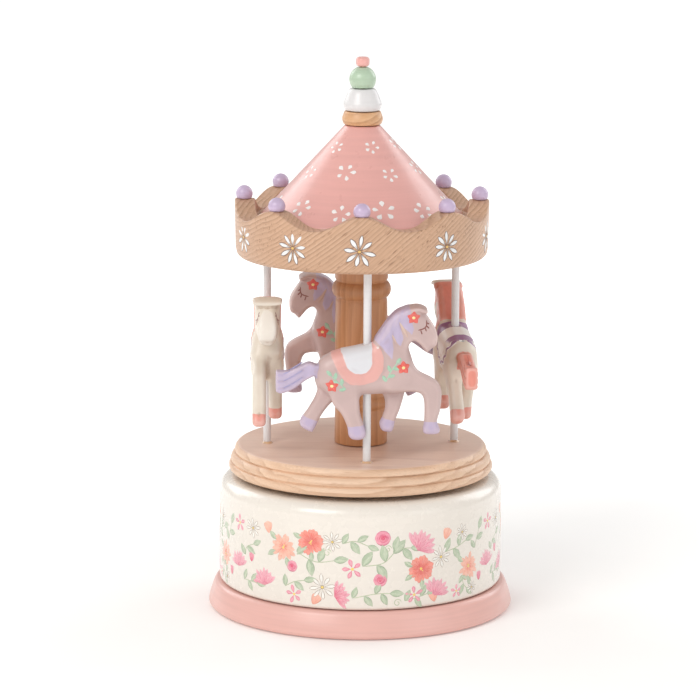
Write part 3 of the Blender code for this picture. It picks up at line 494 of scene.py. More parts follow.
def away_from(centre, reach, angle):
    """The place at a distance from a centre, at an angle in radians."""
    return (centre[0] + reach * math.cos(angle), centre[1] + reach * math.sin(angle))


def leaf_spots(stalk, leaves):
    """For each leaf on a stalk: its foot, the stalk's heading there in radians, and the side
    it leans to, which is 0 at the tip."""
    path = smooth_line(stalk)
    for number in range(leaves):
        index = round(number * (len(path) - 2) / (leaves - 1))
        here, onward = path[index], path[index + 1]
        heading = math.atan2(onward[1] - here[1], onward[0] - here[0])
        yield tuple(here), heading, 0 if number == leaves - 1 else (-1) ** number


class Brush:
    """Thin raised strokes, each a closed sliver of paint, gathered into one mesh.

    place(u, v, height) gives points on the painted surface, in millimetres.
    """

    ACROSS = (-1.0, -0.75, 0.0, 0.75, 1.0, 0.0)
    CROWN = (-0.4, 0.9, 1.0, 0.9, -0.4, -1.2)

    def __init__(self, place, thickness=0.035):
        self.place = place
        self.thickness = thickness
        self.points, self.faces, self.tints, self.flows = [], [], [], []
        self.count = 0

    def stroke(self, spine, widths, root, tip=None, layer=0):
        """One stroke along a spine, from the root colour to the tip colour."""
        spine = np.array(spine, float)
        steps, ring = len(spine), len(self.ACROSS)
        along = np.linspace(0.0, 1.0, steps)
        way = np.gradient(spine, axis=0)
        way /= np.linalg.norm(way, axis=1)[:, None] + 1e-12
        side = np.stack((-way[:, 1], way[:, 0]), axis=1)
        across = np.array(self.ACROSS)
        flat = spine[:, None, :] + side[:, None, :] * (np.asarray(widths)[:, None] * across)[:, :, None]
        lift = self.thickness * (np.array(self.CROWN) + np.where(np.array(self.CROWN) > 0, 0.8 * layer, 0.0))
        lift = np.broadcast_to(lift, (steps, ring))
        self.points.append(self.place(flat[..., 0].ravel(), flat[..., 1].ravel(), lift.ravel()))
        first, last = rgb(root), rgb(tip or root)
        shift = 1.0 + RANDOM.uniform(-0.05, 0.05)
        blend = (along**0.8)[:, None, None]
        tint = (first * (1 - blend) + last * blend) * shift
        self.tints.append(np.broadcast_to(tint, (steps, ring, 3)).reshape(-1, 3))
        seed = RANDOM.uniform(0.0, 9.0)
        flow = np.zeros((steps, ring, 3))
        flow[..., 0], flow[..., 1], flow[..., 2] = along[:, None], across, seed
        self.flows.append(flow.reshape(-1, 3))
        base = self.count
        for i in range(steps - 1):
            for j in range(ring):
                k = (j + 1) % ring
                a, b = base + i * ring, base + (i + 1) * ring
                self.faces.append((a + j, a + k, b + k, b + j))
        self.faces.append(tuple(base + j for j in reversed(range(ring))))
        self.faces.append(tuple(base + (steps - 1) * ring + j for j in range(ring)))
        self.count += steps * ring

    def petal(self, centre, angle, start, length, width, root, tip=None,
              shape=teardrop, layer=0, bend=0.0):
        """One petal or leaf that points away from a centre."""
        t = np.linspace(0.0, 1.0, 11)
        heading = math.radians(angle) + bend * t
        reach = start + length * t
        spine = np.stack((centre[0] + reach * np.cos(heading), centre[1] + reach * np.sin(heading)), axis=1)
        self.stroke(spine, width * shape(np.clip(t, 0.004, 0.996)), root, tip, layer)

    def dot(self, centre, radius, colour, layer=0):
        t = np.linspace(-1.0, 1.0, 9)
        spine = np.stack((centre[0] + radius * t, np.full(9, centre[1])), axis=1)
        self.stroke(spine, radius * np.sqrt(np.clip(1.02 - t**2, 0.01, 1.0)), colour, colour, layer)

    def line(self, points, width, colour, layer=0):
        spine = smooth_line(points)
        self.stroke(spine, width * lined(np.linspace(0.0, 1.0, len(spine))), colour, colour, layer)

    def piece(self, name, material):
        """All the strokes so far as one object."""
        made = link_mesh(name, np.vstack(self.points), self.faces, material)
        tint = made.data.attributes.new("tint", "FLOAT_COLOR", "POINT")
        tints = np.ones((self.count, 4))
        tints[:, :3] = np.vstack(self.tints)
        tint.data.foreach_set("color", tints.ravel())
        flow = made.data.attributes.new("flow", "FLOAT_VECTOR", "POINT")
        flow.data.foreach_set("vector", np.vstack(self.flows).ravel())
        return made


def on_drum(radius):
    """Places strokes on a cylinder: u is the way round it at that radius, v the height."""
    def place(u, v, height):
        return round_axis(radius + height, u / radius, v)
    return place


# ---------------------------------------------------------------- printed flowers

CORAL, CORAL_PALE = (232, 92, 82), (244, 146, 128)
PEACH, PEACH_PALE = (244, 150, 126), (248, 190, 168)
PINK, PINK_PALE = (226, 108, 140), (244, 176, 190)
HOT_PINK, PETAL_PINK = (224, 66, 112), (240, 148, 170)
SAGE, SAGE_DEEP, VINE = (184, 200, 170), (160, 182, 150), (180, 194, 156)
DAISY_WHITE, OUTLINE, YELLOW = (250, 248, 240), (138, 112, 88), (252, 218, 96)
PETAL_ROOT, CORAL_VEIN = (236, 234, 230), (226, 92, 84)
SAGE_LIGHT, MIDRIB = (196, 208, 182), (206, 216, 192)


def jitter(amount):
    return RANDOM.uniform(-amount, amount)


def draw_daisy(brush, centre, size, count=8, colours=(DAISY_WHITE, OUTLINE, YELLOW), turn=8.0, bold=0.11):
    """Narrow white petals, each with a dark outline, round a yellow heart."""
    white, ink, heart = colours
    for i in range(count):
        angle = turn + 360.0 * i / count + jitter(4.0)
        length = size * (0.84 + jitter(0.08))
        width = size * (0.13 + jitter(0.012))
        start = size * 0.12
        brush.petal(centre, angle, start - bold, length + 2.4 * bold, width + bold, ink, ink)
        brush.petal(centre, angle, start + bold * 0.4, length, width, PETAL_ROOT, white, layer=1)
        brush.petal(centre, angle, start, length * 0.4, bold * 0.35, ink, ink, bean, layer=2)
    brush.dot(centre, size * 0.14, ink, layer=2)
    brush.dot(centre, size * 0.11, heart, layer=3)


def draw_star(brush, centre, size):
    """Five pink petals with darker edges and a yellow heart."""
    turn = 90.0 + jitter(20.0)
    for i in range(5):
        angle = turn + 72.0 * i + jitter(7.0)
        length = size * (0.86 + jitter(0.07))
        brush.petal(centre, angle, size * 0.1, length, size * 0.21, PINK, PETAL_PINK)
        brush.petal(centre, angle, size * 0.2, length * 0.72, size * 0.1, PETAL_PINK, PINK_PALE, layer=1)
    brush.dot(centre, size * 0.14, YELLOW, layer=2)


def draw_aster(brush, centre, size):
    """Two rounds of loose peach petals, deeper towards a speckled heart."""
    for count, reach, layer in ((13, 1.0, 0), (9, 0.7, 1)):
        for i in range(count):
            angle = 360.0 * i / count + jitter(9.0)
            length = size * reach * (0.86 + jitter(0.12))
            brush.petal(centre, angle, size * 0.06, length, size * 0.17, PEACH, PEACH_PALE, layer=layer)
    for i in range(10):
        angle = 36.0 * i + jitter(9.0)
        brush.petal(centre, angle, size * 0.05, size * 0.3, size * 0.04, CORAL, PEACH, layer=2)
    draw_heart(brush, centre, size)


def draw_heart(brush, centre, size):
    """A cluster of yellow stamens."""
    for _ in range(7):
        away, angle = size * RANDOM.uniform(0.0, 0.16), RANDOM.uniform(0.0, 2 * math.pi)
        brush.dot(away_from(centre, away, angle), size * 0.05, YELLOW, layer=3)


def draw_carnation(brush, centre, size):
    """Six broad coral petals, each ruffled into three lobes, with fine veins."""
    for i in range(6):
        middle = 60.0 * i + 20.0 + jitter(6.0)
        for spread, reach in ((-17.0, 0.94), (17.0, 0.92), (0.0, 1.0)):
            length = size * reach * (0.95 + jitter(0.05))
            tints = (CORAL, CORAL_PALE, broad, int(spread == 0.0))
            brush.petal(centre, middle + spread, size * 0.04, length, size * 0.25, *tints)
        for spread in (-20.0, -7.0, 7.0, 20.0):
            vein = (CORAL_VEIN, CORAL, bean, 2)
            brush.petal(centre, middle + spread, size * 0.1, size * 0.6, size * 0.025, *vein)
    draw_heart(brush, centre, size)


FAN_SPREAD = 62.0  # how far to either side a side-on flower opens


def draw_fan(brush, centre, size, heading):
    """A flower seen from the side: ruffled petals that fan out from its foot."""
    deep = HOT_PINK if heading < 45 else PINK
    foot = away_from(centre, -0.55 * size, math.radians(heading))
    for count, reach, width, layer in ((8, 1.65, 0.2, 0), (6, 1.35, 0.19, 1), (4, 1.0, 0.17, 2)):
        for i in range(count):
            lean = FAN_SPREAD * (2.0 * i / (count - 1) - 1.0) * (1.0 - 0.12 * layer)
            angle = heading + lean + jitter(4.0)
            length = size * reach * (0.92 + jitter(0.08))
            brush.petal(foot, angle, 0.0, length, size * width, deep, PINK_PALE, layer=layer)
            brush.petal(foot, angle, size * 0.15, length * 0.7, size * 0.022, deep, deep, bean, layer + 1)


def draw_rose(brush, centre, size):
    """A round rose: a pale edge, a deep middle and two pale turns of its petals."""
    brush.dot(centre, size, PETAL_PINK, 1)
    brush.dot(centre, 0.72 * size, PINK, 2)
    brush.dot(centre, 0.45 * size, HOT_PINK, 3)
    for radius, first, sweep in ((0.6, 20.0, 250.0), (0.33, 150.0, 230.0)):
        turns = [math.radians(first + sweep * number / 10) for number in range(11)]
        curl = [away_from(centre, radius * size, turn) for turn in turns]
        brush.line(curl, 0.16, PETAL_PINK, 4)


def draw_bud(brush, centre, size):
    """A closed upright bud of three petals."""
    foot = away_from(centre, -size, math.radians(90.0))
    for spread in (-16.0, 16.0, 0.0):
        tints = (HOT_PINK, PETAL_PINK, bean, int(spread == 0.0))
        brush.petal(foot, 90.0 + spread, 0.0, size * 1.9, size * 0.42, *tints)


def draw_leaf(brush, start, end):
    """A sage leaf from its stalk to its tip, with a deeper lower half and a fine midrib."""
    start, end = np.array(start), np.array(end)
    length = float(np.linalg.norm(end - start))
    angle = math.degrees(math.atan2(end[1] - start[1], end[0] - start[0]))
    width = 0.26 * length
    bend = jitter(0.12)
    light = (SAGE, SAGE_LIGHT, leafy, 1, bend)
    brush.petal(start, angle, 0.0, length, width, SAGE_DEEP, SAGE, leafy, bend=bend)
    brush.petal(start, angle - 7.0, length * 0.06, length * 0.82, width * 0.42, *light)
    brush.petal(start, angle, 0.0, length * 0.9, 0.07, MIDRIB, SAGE, bean, 2, bend)


# What is printed on a third of the drum: a place is (degrees, height in mm).
PRINT_RADIUS = 50.9
PRINT_TURNS = (0.0, 120.0, 240.0)
PRINT_ASTERS = ((-32, 31, 5.4), (49, 22, 5.2))
PRINT_CARNATIONS = ((-20, 34, 5.0), (25, 24, 5.0))
PRINT_DAISIES = (
    (-11, 34.5, 3.6), (-15, 18, 4.7), (-48, 35.5, 3.8), (34, 27.5, 4.0), (45, 35, 3.0), (51, 14, 2.4),
)
PRINT_STARS = ((-3, 25, 3.8), (-27, 14.5, 3.4), (-57, 36, 3.4), (22, 15, 3.5), (42, 14, 2.7))
PRINT_FANS = (  # the last value is the heading that the fan opens to
    (-42, 18, 4.2, 105), (-58, 22, 3.8, 95), (25, 33, 4.8, 55), (32, 16, 4.2, 70), (-8, 15.5, 3.7, 15),
)
PRINT_ROSES = ((-28, 24.5, 2.1), (9, 36, 2.8), (8, 21, 2.4))
PRINT_BUDS = ((-49, 25, 1.8), (56, 17.5, 1.8))
PRINT_PETALS = ((-39, 37, 100), (-19, 13.5, 60), (36, 35.5, 70), (31, 13.5, 100))
PRINT_SPRAYS = (  # a stalk through three places, then how many leaves it has and their length
    ((-26, 30), (-18, 27), (-9, 28), 4, 6.0), ((-7, 34), (-2, 35), (4, 33), 4, 5.0),
    ((1, 26), (9, 27), (14, 31), 4, 6.0), ((14, 31), (17, 32), (21, 32), 3, 5.5),
    ((-3, 14.5), (6, 16), (13, 16), 5, 5.0), ((36, 29), (42, 30), (48, 32), 4, 5.0),
    ((-53, 25), (-52, 28), (-47, 30), 3, 4.5), ((-54, 16), (-50, 16), (-45, 16), 4, 4.5),
    ((18, 13), (24, 14), (28, 15), 4, 4.5), ((53, 28), (54, 31), (56, 35), 3, 4.5),
    ((-31, 17), (-27, 19), (-22, 20), 3, 5.0), ((45, 19), (46, 16), (48, 14), 3, 4.0),
)
PRINT_CURLS = ((-13, 30.5), (11, 32), (15, 12.5))
BLOOM_LEAVES = (150.0, 215.0, 285.0)  # headings of the leaves behind a large flower
BLOOM_LEAF_SPAN = (0.7, 1.45)  # where such a leaf starts and ends, in the flower's sizes
LEAF_LEAN = 55.0
STALK_WIDTH, CURL_WIDTH = 0.16, 0.14
PETAL_FOOT, PETAL_LENGTH, PETAL_WIDTH = 1.9, 4.2, 2.7  # a loose petal


def print_spray(brush, stalk, leaves, length):
    """A stalk with leaves to either side of it and one at its tip."""
    brush.line(stalk, STALK_WIDTH, VINE)
    for foot, heading, side in leaf_spots(stalk, leaves):
        if side:
            heading += math.radians(LEAF_LEAN * side + jitter(10.0))
        reach = length * (1.0 + jitter(0.12))
        draw_leaf(brush, foot, away_from(foot, reach, heading))


def print_curl(brush, centre):
    """A tendril that winds inwards."""
    curl = [away_from(centre, 1.5 - 0.1 * step, math.radians(40.0 * step)) for step in range(13)]
    brush.line(curl, CURL_WIDTH, VINE)


def print_drum():
    """The watercolour flowers round the drum, three times over."""
    brush = Brush(on_drum(PRINT_RADIUS), 0.014)
    for turn in PRINT_TURNS:

        def at(angle, height):
            return (math.radians(angle + turn) * PRINT_RADIUS, height)

        for *stalk, leaves, length in PRINT_SPRAYS:
            print_spray(brush, [at(*place) for place in stalk], leaves, length)
        for place in PRINT_CURLS:
            print_curl(brush, at(*place))
        for angle, height, size in PRINT_ASTERS + PRINT_CARNATIONS:
            middle = at(angle, height)
            for heading in BLOOM_LEAVES:
                way = math.radians(heading + jitter(12.0))
                ends = [away_from(middle, share * size, way) for share in BLOOM_LEAF_SPAN]
                draw_leaf(brush, *ends)
        for angle, height, heading in PRINT_PETALS:
            foot = at(angle, height - PETAL_FOOT)
            brush.petal(foot, heading, 0.0, PETAL_LENGTH, PETAL_WIDTH, PEACH, PEACH_PALE, broad)
        for draw, flowers in (
            (draw_bud, PRINT_BUDS), (draw_star, PRINT_STARS), (draw_rose, PRINT_ROSES),
            (draw_fan, PRINT_FANS), (draw_aster, PRINT_ASTERS), (draw_carnation, PRINT_CARNATIONS),
            (draw_daisy, PRINT_DAISIES),
        ):
            for angle, height, *size_and_heading in flowers:
                draw(brush, at(angle, height), *size_and_heading)
    finish = print_finish("watercolour", (232, 224, 214), 0.22, 0.26, 0.5)
    return brush.piece("drum_print", finish)


# ---------------------------------------------------------------- the box

make_camera()
make_studio()

floor_finish = Finish("studio_floor")
floor_finish.feed("Base Color", floor_finish.shade(tone(246, 245, 243), floor_finish.noise(6.0), 0.99, 1.0))
floor_finish.feed("Roughness", floor_finish.share(floor_finish.noise(40.0), 0.3, 0.7, 0.6, 0.75))
# The floor glows, more strongly further from the box: painted brightness, not a lamp, that whitens the
# backdrop and lights the box from below.
away = floor_finish.node("VectorMath", {0: floor_finish.place}, operation="LENGTH").outputs["Value"]
floor_finish.shader.inputs["Emission Color"].default_value = (1.0, 1.0, 1.0, 1.0)
floor_finish.feed("Emission Strength", floor_finish.share(away, 0.04, 0.55, 0.1, 0.5))
FLOOR_HALF = 3000.0
corners = [(x * FLOOR_HALF, y * FLOOR_HALF, 0.0) for x, y in ((-1, -1), (1, -1), (1, 1), (-1, 1))]
link_mesh("studio_floor", corners, [(0, 1, 2, 3)], floor_finish.material, smooth=False)

BEECH_TONES = ((226, 190, 158), (214, 174, 140), (158, 112, 80))
COLUMN_TONES = ((205, 152, 108), (194, 137, 93), (151, 97, 59))
finishes = {
    "pink_paint": painted("soft_pink_paint", (232, 182, 172), grain=0.5),
    "cream_paint": painted("cream_paint", (234, 227, 217), 0.24, 0.012, 0.6, 0.0, 0.012),
    "roof_paint": painted("roof_pink_paint", (226, 168, 160), 0.32, 0.04, 0.45, 0.4),
    "lilac_paint": painted("lilac_paint", (196, 176, 204), 0.36, 0.06),
    "white_paint": painted("white_paint", (222, 220, 220), 0.34, 0.03),
    "green_paint": painted("green_paint", (178, 200, 174), 0.34, 0.05),
    "mauve_paint": painted("mauve_paint", (200, 170, 164), 0.4, 0.03),
    "ivory_paint": painted("ivory_paint", (226, 216, 200), 0.4, 0.03),
    "beech": wooden("beech", BEECH_TONES, (0.0, 0.0, 0.0), 2.6, (20.0, -60.0)),
    "turned_wood": wooden("turned_wood", COLUMN_TONES, (0.0, 90.0, 0.0), 2.6, (30.0, 160.0), 0.35, 0.25),
    "plywood": layered("plywood", (216, 190, 150), (180, 140, 98)),
    "felt": felted("felt", (204, 196, 186)),
    "brass": metallic("brass", (214, 178, 104), 0.25, (3000.0, 400.0, 400.0), (150, 112, 60)),
    "steel": metallic("steel", (176, 178, 182), 0.22, (400.0, 400.0, 3000.0), (120, 118, 116)),
    "cast_metal": metallic("cast_metal", (150, 148, 144), 0.42, (900.0, 900.0, 900.0), (110, 106, 100)),
    "nylon": moulded("nylon", (228, 226, 218)),
}
for subpart in frame["record"]["subparts"]:
    node = frame["nodes"][subpart["node"]]
    for material_slot in node.material_slots:
        material_slot.link = "OBJECT"
        material_slot.material = finishes[subpart["material_slot"]]

PLINTH = (
    (10.6, 8.6), (16.4, 8.6), (16.4, 9.7), (51.8, 9.7), (52.7, 8.8), (54.2, 4.7), (55.0, 1.4),
    (54.0, 0.3), (50.3, 0.3), (50.3, 1.6), (30.0, 1.6), (30.0, 0.3), (8.0, 0.3), (8.0, 4.9),
    (1.9, 4.9), (1.9, 8.0), (5.4, 8.0), (5.4, 9.7), (10.6, 9.7),
)
plinth = lathe("plinth_turned", eased(PLINTH, 0.9, 5, True), FINE, finishes["pink_paint"], True)
stands_for(plinth, "base", "pink_paint", "plinth")

DRUM = (
    (4.8, 47.9), *arc(45.9, 42.9, 5.0, 90, 0, 14), *divided([(50.9, 42.0), (50.9, 10.9)], 4.0),
    (50.4, 10.1), (48.0, 10.1), (48.0, 13.3), (44.0, 13.3), (44.0, 42.5), (4.8, 42.5),
)
drum = lathe("drum_turned", eased(DRUM, 0.3, 3, True), FINE, finishes["cream_paint"], True)
stands_for(drum, "drum", "cream_paint", "drum_shell")
stands_for(print_drum(), "drum", "cream_paint")

TURNTABLE = (
    (0.0, 59.4), (43.7, 59.4), (44.5, 59.1), (45.2, 58.2), (45.5, 57.1), (45.35, 56.7), (44.8, 56.4),
    (45.7, 56.1), (46.5, 55.2), (46.9, 54.0), (46.8, 53.5), (46.2, 53.1), (47.0, 52.8), (47.5, 52.1),
    (47.55, 51.2), (47.2, 50.3), (46.5, 49.7), (8.3, 49.7), (8.3, 51.7), (0.0, 51.7),
)
TABLE_TONES = ((234, 202, 174), (226, 190, 160), (180, 132, 96))
# the colour of the painted reflection on the turntable's top face
TABLE_REFLECTION = (232, 208, 198)
table_wood = wooden(
    "turntable_beech", TABLE_TONES, (0.0, 0.0, 3.0), 3.1, (14.0, -120.0), 0.55, 0.3, 120.0, TABLE_REFLECTION,
)
turntable = lathe("turntable_turned", eased(TURNTABLE, 0.25, 4), FINE, table_wood)
stands_for(turntable, "carousel", "beech", "turntable")

COLUMN = (
    (0.0, 131.7), (4.0, 131.7), (4.0, 128.0), (9.5, 128.0), (9.5, 119.6),
    *arc(6.9, 115.7, 3.7, 56, -56, 14), (9.3, 111.6), *divided([(9.35, 108.0), (9.45, 80.0)], 6.0),
    (9.5, 77.6), *arc(7.4, 74.7, 2.8, 50, -50, 10), (9.4, 71.8), (9.5, 59.7), (4.0, 59.7), (4.0, 56.1),
    (0.0, 56.1),
)
column = lathe("column_turned", eased(COLUMN, 0.3, 3), ROUND, finishes["turned_wood"])
stands_for(column, "carousel", "turned_wood", "column")

# ---------------------------------------------------------------- canopy, roof and finial

CANOPY_PEAK, CANOPY_VALLEY, SCALLOPS = 148.2, 142.8, 8
SCALLOP_POINT = 1.15  # how much narrower a peak is than a valley
RIM_STILL, RIM_EDGE = 133.0, 1.6  # no scallops below this height, and the rim's rounded top edge
WELL_RADIUS, WELL_STILL, WELL_RISE = 38.25, 142.2, 4.4  # inner wall, and where it starts to follow
RIM_RADIUS, RIM_FOOT, RIM_FOOT_RADIUS, RIM_FLARE = 45.2, 131.2, 45.1, 0.018  # outer wall
DAISY_HEIGHT, DAISY_SIZE = 136.7, 5.5
DAISY_ANGLES = (-139.0, -103.0, -67.0, -32.0, -1.0, 41.0, 77.0, 113.0, 149.0, 185.0)


def scalloped(points):
    """Lowers the rim between its peaks: narrow round peaks and wider valleys."""
    angle, reach = polar(points)
    wave = 0.5 + 0.5 * np.cos(SCALLOPS * angle)
    drop = (CANOPY_PEAK - CANOPY_VALLEY) * (1.0 - wave**SCALLOP_POINT)
    height = points[:, 2]
    rise = np.clip((height - RIM_STILL) / (CANOPY_PEAK - RIM_EDGE - RIM_STILL), 0.0, 1.0)
    rise = np.where(reach < WELL_RADIUS, np.clip((height - WELL_STILL) / WELL_RISE, 0.0, 1.0), rise)
    moved = points.copy()
    moved[:, 2] -= drop * np.where(height > RIM_STILL, rise, 0.0)
    return moved


CANOPY = (
    (0.0, 141.8), (37.9, 141.8), (38.2, 142.1), (38.2, 144.0), (38.2, 146.6), (38.2, 147.8), (38.5, 148.2),
    (40.0, 148.2), (43.4, 148.2), (45.0, 148.2), (45.4, 147.8), (45.4, 146.6),
    *divided([(45.35, 145.0), (45.1, 131.2)], 2.0), (44.7, 129.2), (43.7, 128.2), (0.0, 128.2),
)
RIM_TONES = ((208, 172, 144), (197, 157, 127), (132, 91, 61))
rim_wood = wooden("canopy_beech", RIM_TONES, (0.0, 40.0, 0.0), 1.35, (60.0, -900.0), 0.5, 0.75, 90.0)
canopy = lathe("canopy_turned", eased(CANOPY, 0.35, 3), SCALLOPS * 44, rim_wood, shape=scalloped)
stands_for(canopy, "carousel", "beech", "canopy")


def on_canopy(u, v, height):
    """Places strokes on the rim: u is the way round it, v the height."""
    reach = RIM_FOOT_RADIUS + (v - RIM_FOOT) * RIM_FLARE + height
    return round_axis(reach, u / RIM_RADIUS, v)


RIM_DAISY = ((234, 236, 238), (104, 70, 50), (226, 180, 92))  # white, outline, heart
daisies = Brush(on_canopy, 0.05)
for number, angle in enumerate(DAISY_ANGLES):
    centre = (math.radians(angle) * RIM_RADIUS, DAISY_HEIGHT + jitter(0.3))
    draw_daisy(daisies, centre, DAISY_SIZE, 8 + number % 2, RIM_DAISY, 20.0 + jitter(15.0), 0.26)
brush_paint = print_finish("brush_paint", (236, 234, 232), 0.12, 0.36, 0.3)
stands_for(daisies.piece("canopy_daisies", brush_paint), "carousel", "white_paint")

KNOB_RING, KNOB_HEIGHT = 42.0, 149.85
KNOB = ((0.0, 3.0), *arc(0.0, 0.0, 3.0, 85, -33, 22), (1.0, -1.64), (1.0, -4.6), (0.0, -4.6))
for number in range(SCALLOPS):
    centre = ring_place(KNOB_RING, 2 * math.pi * number / SCALLOPS)
    profile = [(r, KNOB_HEIGHT + z) for r, z in KNOB]
    knob = lathe(f"knob_ball_{number + 1}", profile, SMALL, finishes["lilac_paint"], centre=centre)
    stands_for(knob, "carousel", "lilac_paint", f"knob_{number + 1}")

CONE_APEX, CONE_SLOPE = 181.4, 0.929
ROOF = (
    (0.0, 174.7), (6.2, 174.7), *divided([(6.8, 174.08), (35.0, 143.72)], 3.0),
    (36.0, 142.9), (36.3, 142.1), (0.0, 142.1),
)
roof = lathe("roof_turned", eased(ROOF, 0.5, 4), FINE, finishes["roof_paint"])
stands_for(roof, "carousel", "roof_paint", "roof_cone")

ROOF_ROWS = (  # height, first angle, number round, size
    (168.0, -45.0, 6, 3.0), (160.0, -60.0, 8, 3.3), (148.0, -45.0, 12, 3.5),
)
CONE_TILT = math.atan(CONE_SLOPE)


def on_cone(angle, height):
    """Places strokes on the roof round one spot: u is level, v runs up the slope."""
    heading = math.radians(angle)

    def place(u, v, lift):
        z = height + v * math.cos(CONE_TILT)
        reach = (CONE_APEX - z) * CONE_SLOPE
        turn = heading + u / np.maximum(reach, 1.0)
        reach = reach + lift * math.cos(CONE_TILT)
        z = z + lift * math.sin(CONE_TILT)
        return round_axis(reach, turn, z)
    return place


ROOF_WHITE = ((240, 234, 230), (240, 238, 236))  # root and tip of a petal
roof_flowers = Brush(None, 0.06)
for height, first, count, size in ROOF_ROWS:
    for number in range(count):
        angle = first + 360.0 * number / count + jitter(2.5)
        roof_flowers.place = on_cone(angle, height + jitter(1.0))
        turn, grown = jitter(30.0), size * (1.0 + jitter(0.16))
        for petal in range(5):
            length = grown * (0.62 + jitter(0.07))
            heading = turn + 72.0 * petal + jitter(8.0)
            width = grown * (0.25 + jitter(0.03))
            roof_flowers.petal((0.0, 0.0), heading, grown * 0.42, length, width, *ROOF_WHITE)
stands_for(roof_flowers.piece("roof_flowers", brush_paint), "carousel", "white_paint")

COLLAR = (
    (1.3, 179.7), (6.4, 179.7), (6.7, 178.9), (7.2, 177.6), (7.28, 176.7), (7.0, 175.7), (6.6, 175.0),
    (1.3, 175.0),
)
SKIRT = (
    (1.3, 187.7), (4.5, 187.7), (5.3, 186.4), (6.0, 184.6), (6.7, 182.9), (6.88, 182.1), (6.7, 181.1),
    (6.2, 180.0), (1.3, 180.0),
)
GREEN_BALL = ((1.3, 195.3), *arc(0.0, 190.9, 4.78, 66, -36, 24), (1.3, 188.1))
COLLAR_TONES = ((224, 180, 138), (212, 164, 120), (160, 110, 74))
collar_wood = wooden("collar_beech", COLLAR_TONES, (0.0, 12.0, 0.0), 2.2, (10.0, 120.0), 0.45, 0.4)
for name, profile, paint, slot in (
    ("finial_collar", COLLAR, collar_wood, "beech"),
    ("finial_skirt", SKIRT, finishes["white_paint"], "white_paint"),
    ("finial_ball", GREEN_BALL, finishes["green_paint"], "green_paint"),
):
    bead = lathe(name + "_turned", eased(profile, 0.5, 4, True), SMALL, paint, True)
    stands_for(bead, "carousel", slot, name)

TIP = ((0.0, 198.9), (1.8, 198.9), (2.39, 198.2), (2.39, 196.2), (1.9, 195.6), (0.0, 195.6))
tip_paint = painted("tip_pink_paint", (234, 172, 164), 0.3, 0.05)
tip = lathe("finial_tip_cut", eased(TIP, 0.18, 3), 8, tip_paint)
stands_for(tip, "carousel", "pink_paint", "finial_tip")

# ---------------------------------------------------------------- poles

SIDES = ("front", "right", "back", "left")
POLE_TURN = 3.6
HORSE_YAW = {"front": -1.8, "right": 6.0, "back": 0.0, "left": -2.0}
POLE_RING, POLE_RADIUS = 33.8, 1.4
POLE = (
    (0.0, 131.4), (POLE_RADIUS, 131.4), *divided([(POLE_RADIUS, 130.0), (POLE_RADIUS, 57.5)], 6.0),
    (POLE_RADIUS, 56.2), (0.0, 56.2),
)
GLUE = ((1.3, 60.1), (1.5, 60.0), (1.75, 59.62), (2.15, 59.45), (2.2, 59.3), (1.3, 59.3))


def blobby(points):
    """Makes a glue fillet uneven round its pole."""
    angle, reach = polar(points)
    swell = 1.0 + 0.1 * np.sin(2 * angle + 0.7) + 0.06 * np.sin(5 * angle)
    moved = points.copy()
    outer = reach > POLE_RADIUS
    moved[outer, :2] *= swell[outer, None]
    return moved


glue_finish = painted("dried_glue", (214, 176, 140), 0.2, 0.04, 0.6)
places = {}
for number, side in enumerate(SIDES):
    heading = math.radians(90 * number + POLE_TURN)
    centre = ring_place(POLE_RING, heading)
    places[side] = (*centre, heading + math.radians(HORSE_YAW[side]))
    pole = lathe(f"pole_{side}_round", POLE, SMALL, finishes["white_paint"], centre=centre)
    stands_for(pole, "carousel", "white_paint", f"pole_{side}")
    glue = lathe(f"pole_{side}_glue", GLUE, SMALL, glue_finish, True, centre, blobby)
    stands_for(glue, "carousel", "beech")

# ---------------------------------------------------------------- horses
# Side views in millimetres: x forward from the pole, z up from the hooves. -Y is the outer side.

TORSO = (
    (-17.5, 20.0), (-17.5, 25.5), (-16.0, 29.0), (-11.0, 31.5), (-4.0, 33.0), (2.5, 34.5), (8.5, 35.5),
    (14.0, 32.0), (15.5, 26.0), (14.5, 20.0), (10.0, 17.0), (-4.0, 16.0), (-12.0, 16.0),
)
HEAD = (
    (2.5, 33.0), (5.0, 38.5), (8.5, 43.5), (12.0, 46.0), (17.0, 46.5), (20.0, 45.0), (22.0, 42.5),
    (24.0, 39.0), (24.5, 36.0), (24.0, 33.5), (22.5, 32.5), (21.0, 31.0), (20.0, 32.0), (18.0, 34.5),
    (16.0, 35.5), (14.5, 34.0), (14.0, 31.0), (15.0, 27.0), (10.0, 26.0), (4.0, 28.0),
)
MANE = (
    (20.5, 46.0), (17.5, 47.5), (14.0, 47.0), (10.5, 45.5), (8.0, 43.0), (5.0, 39.0), (2.5, 35.0),
    (4.5, 34.0), (8.5, 38.5), (12.5, 42.5), (16.5, 44.5), (19.5, 45.0),
)
TAIL = (
    (-13.0, 27.0), (-17.0, 26.5), (-20.5, 27.5), (-24.0, 26.0), (-28.0, 24.5), (-31.5, 24.5),
    (-32.0, 24.0), (-32.0, 17.5), (-31.5, 17.0), (-30.0, 16.5), (-26.0, 18.0), (-21.0, 21.5),
    (-17.0, 23.0), (-13.0, 22.0),
)
HIND_OUTER = (
    (-13.0, 24.0), (-12.5, 14.5), (-9.0, 9.5), (-7.0, 5.0), (-6.5, 2.0), (-5.0, 0.5), (-2.0, 0.5),
    (-0.5, 2.0), (-1.0, 5.0), (-2.5, 10.0), (-3.0, 17.0), (-4.0, 24.0),
)
HIND_INNER = (
    (-17.0, 24.0), (-17.5, 16.5), (-20.5, 10.5), (-23.0, 7.0), (-23.5, 5.0), (-22.5, 3.5), (-19.5, 2.0),
    (-18.5, 3.0), (-16.0, 8.0), (-12.5, 12.5), (-7.0, 17.0), (-7.0, 24.0),
)
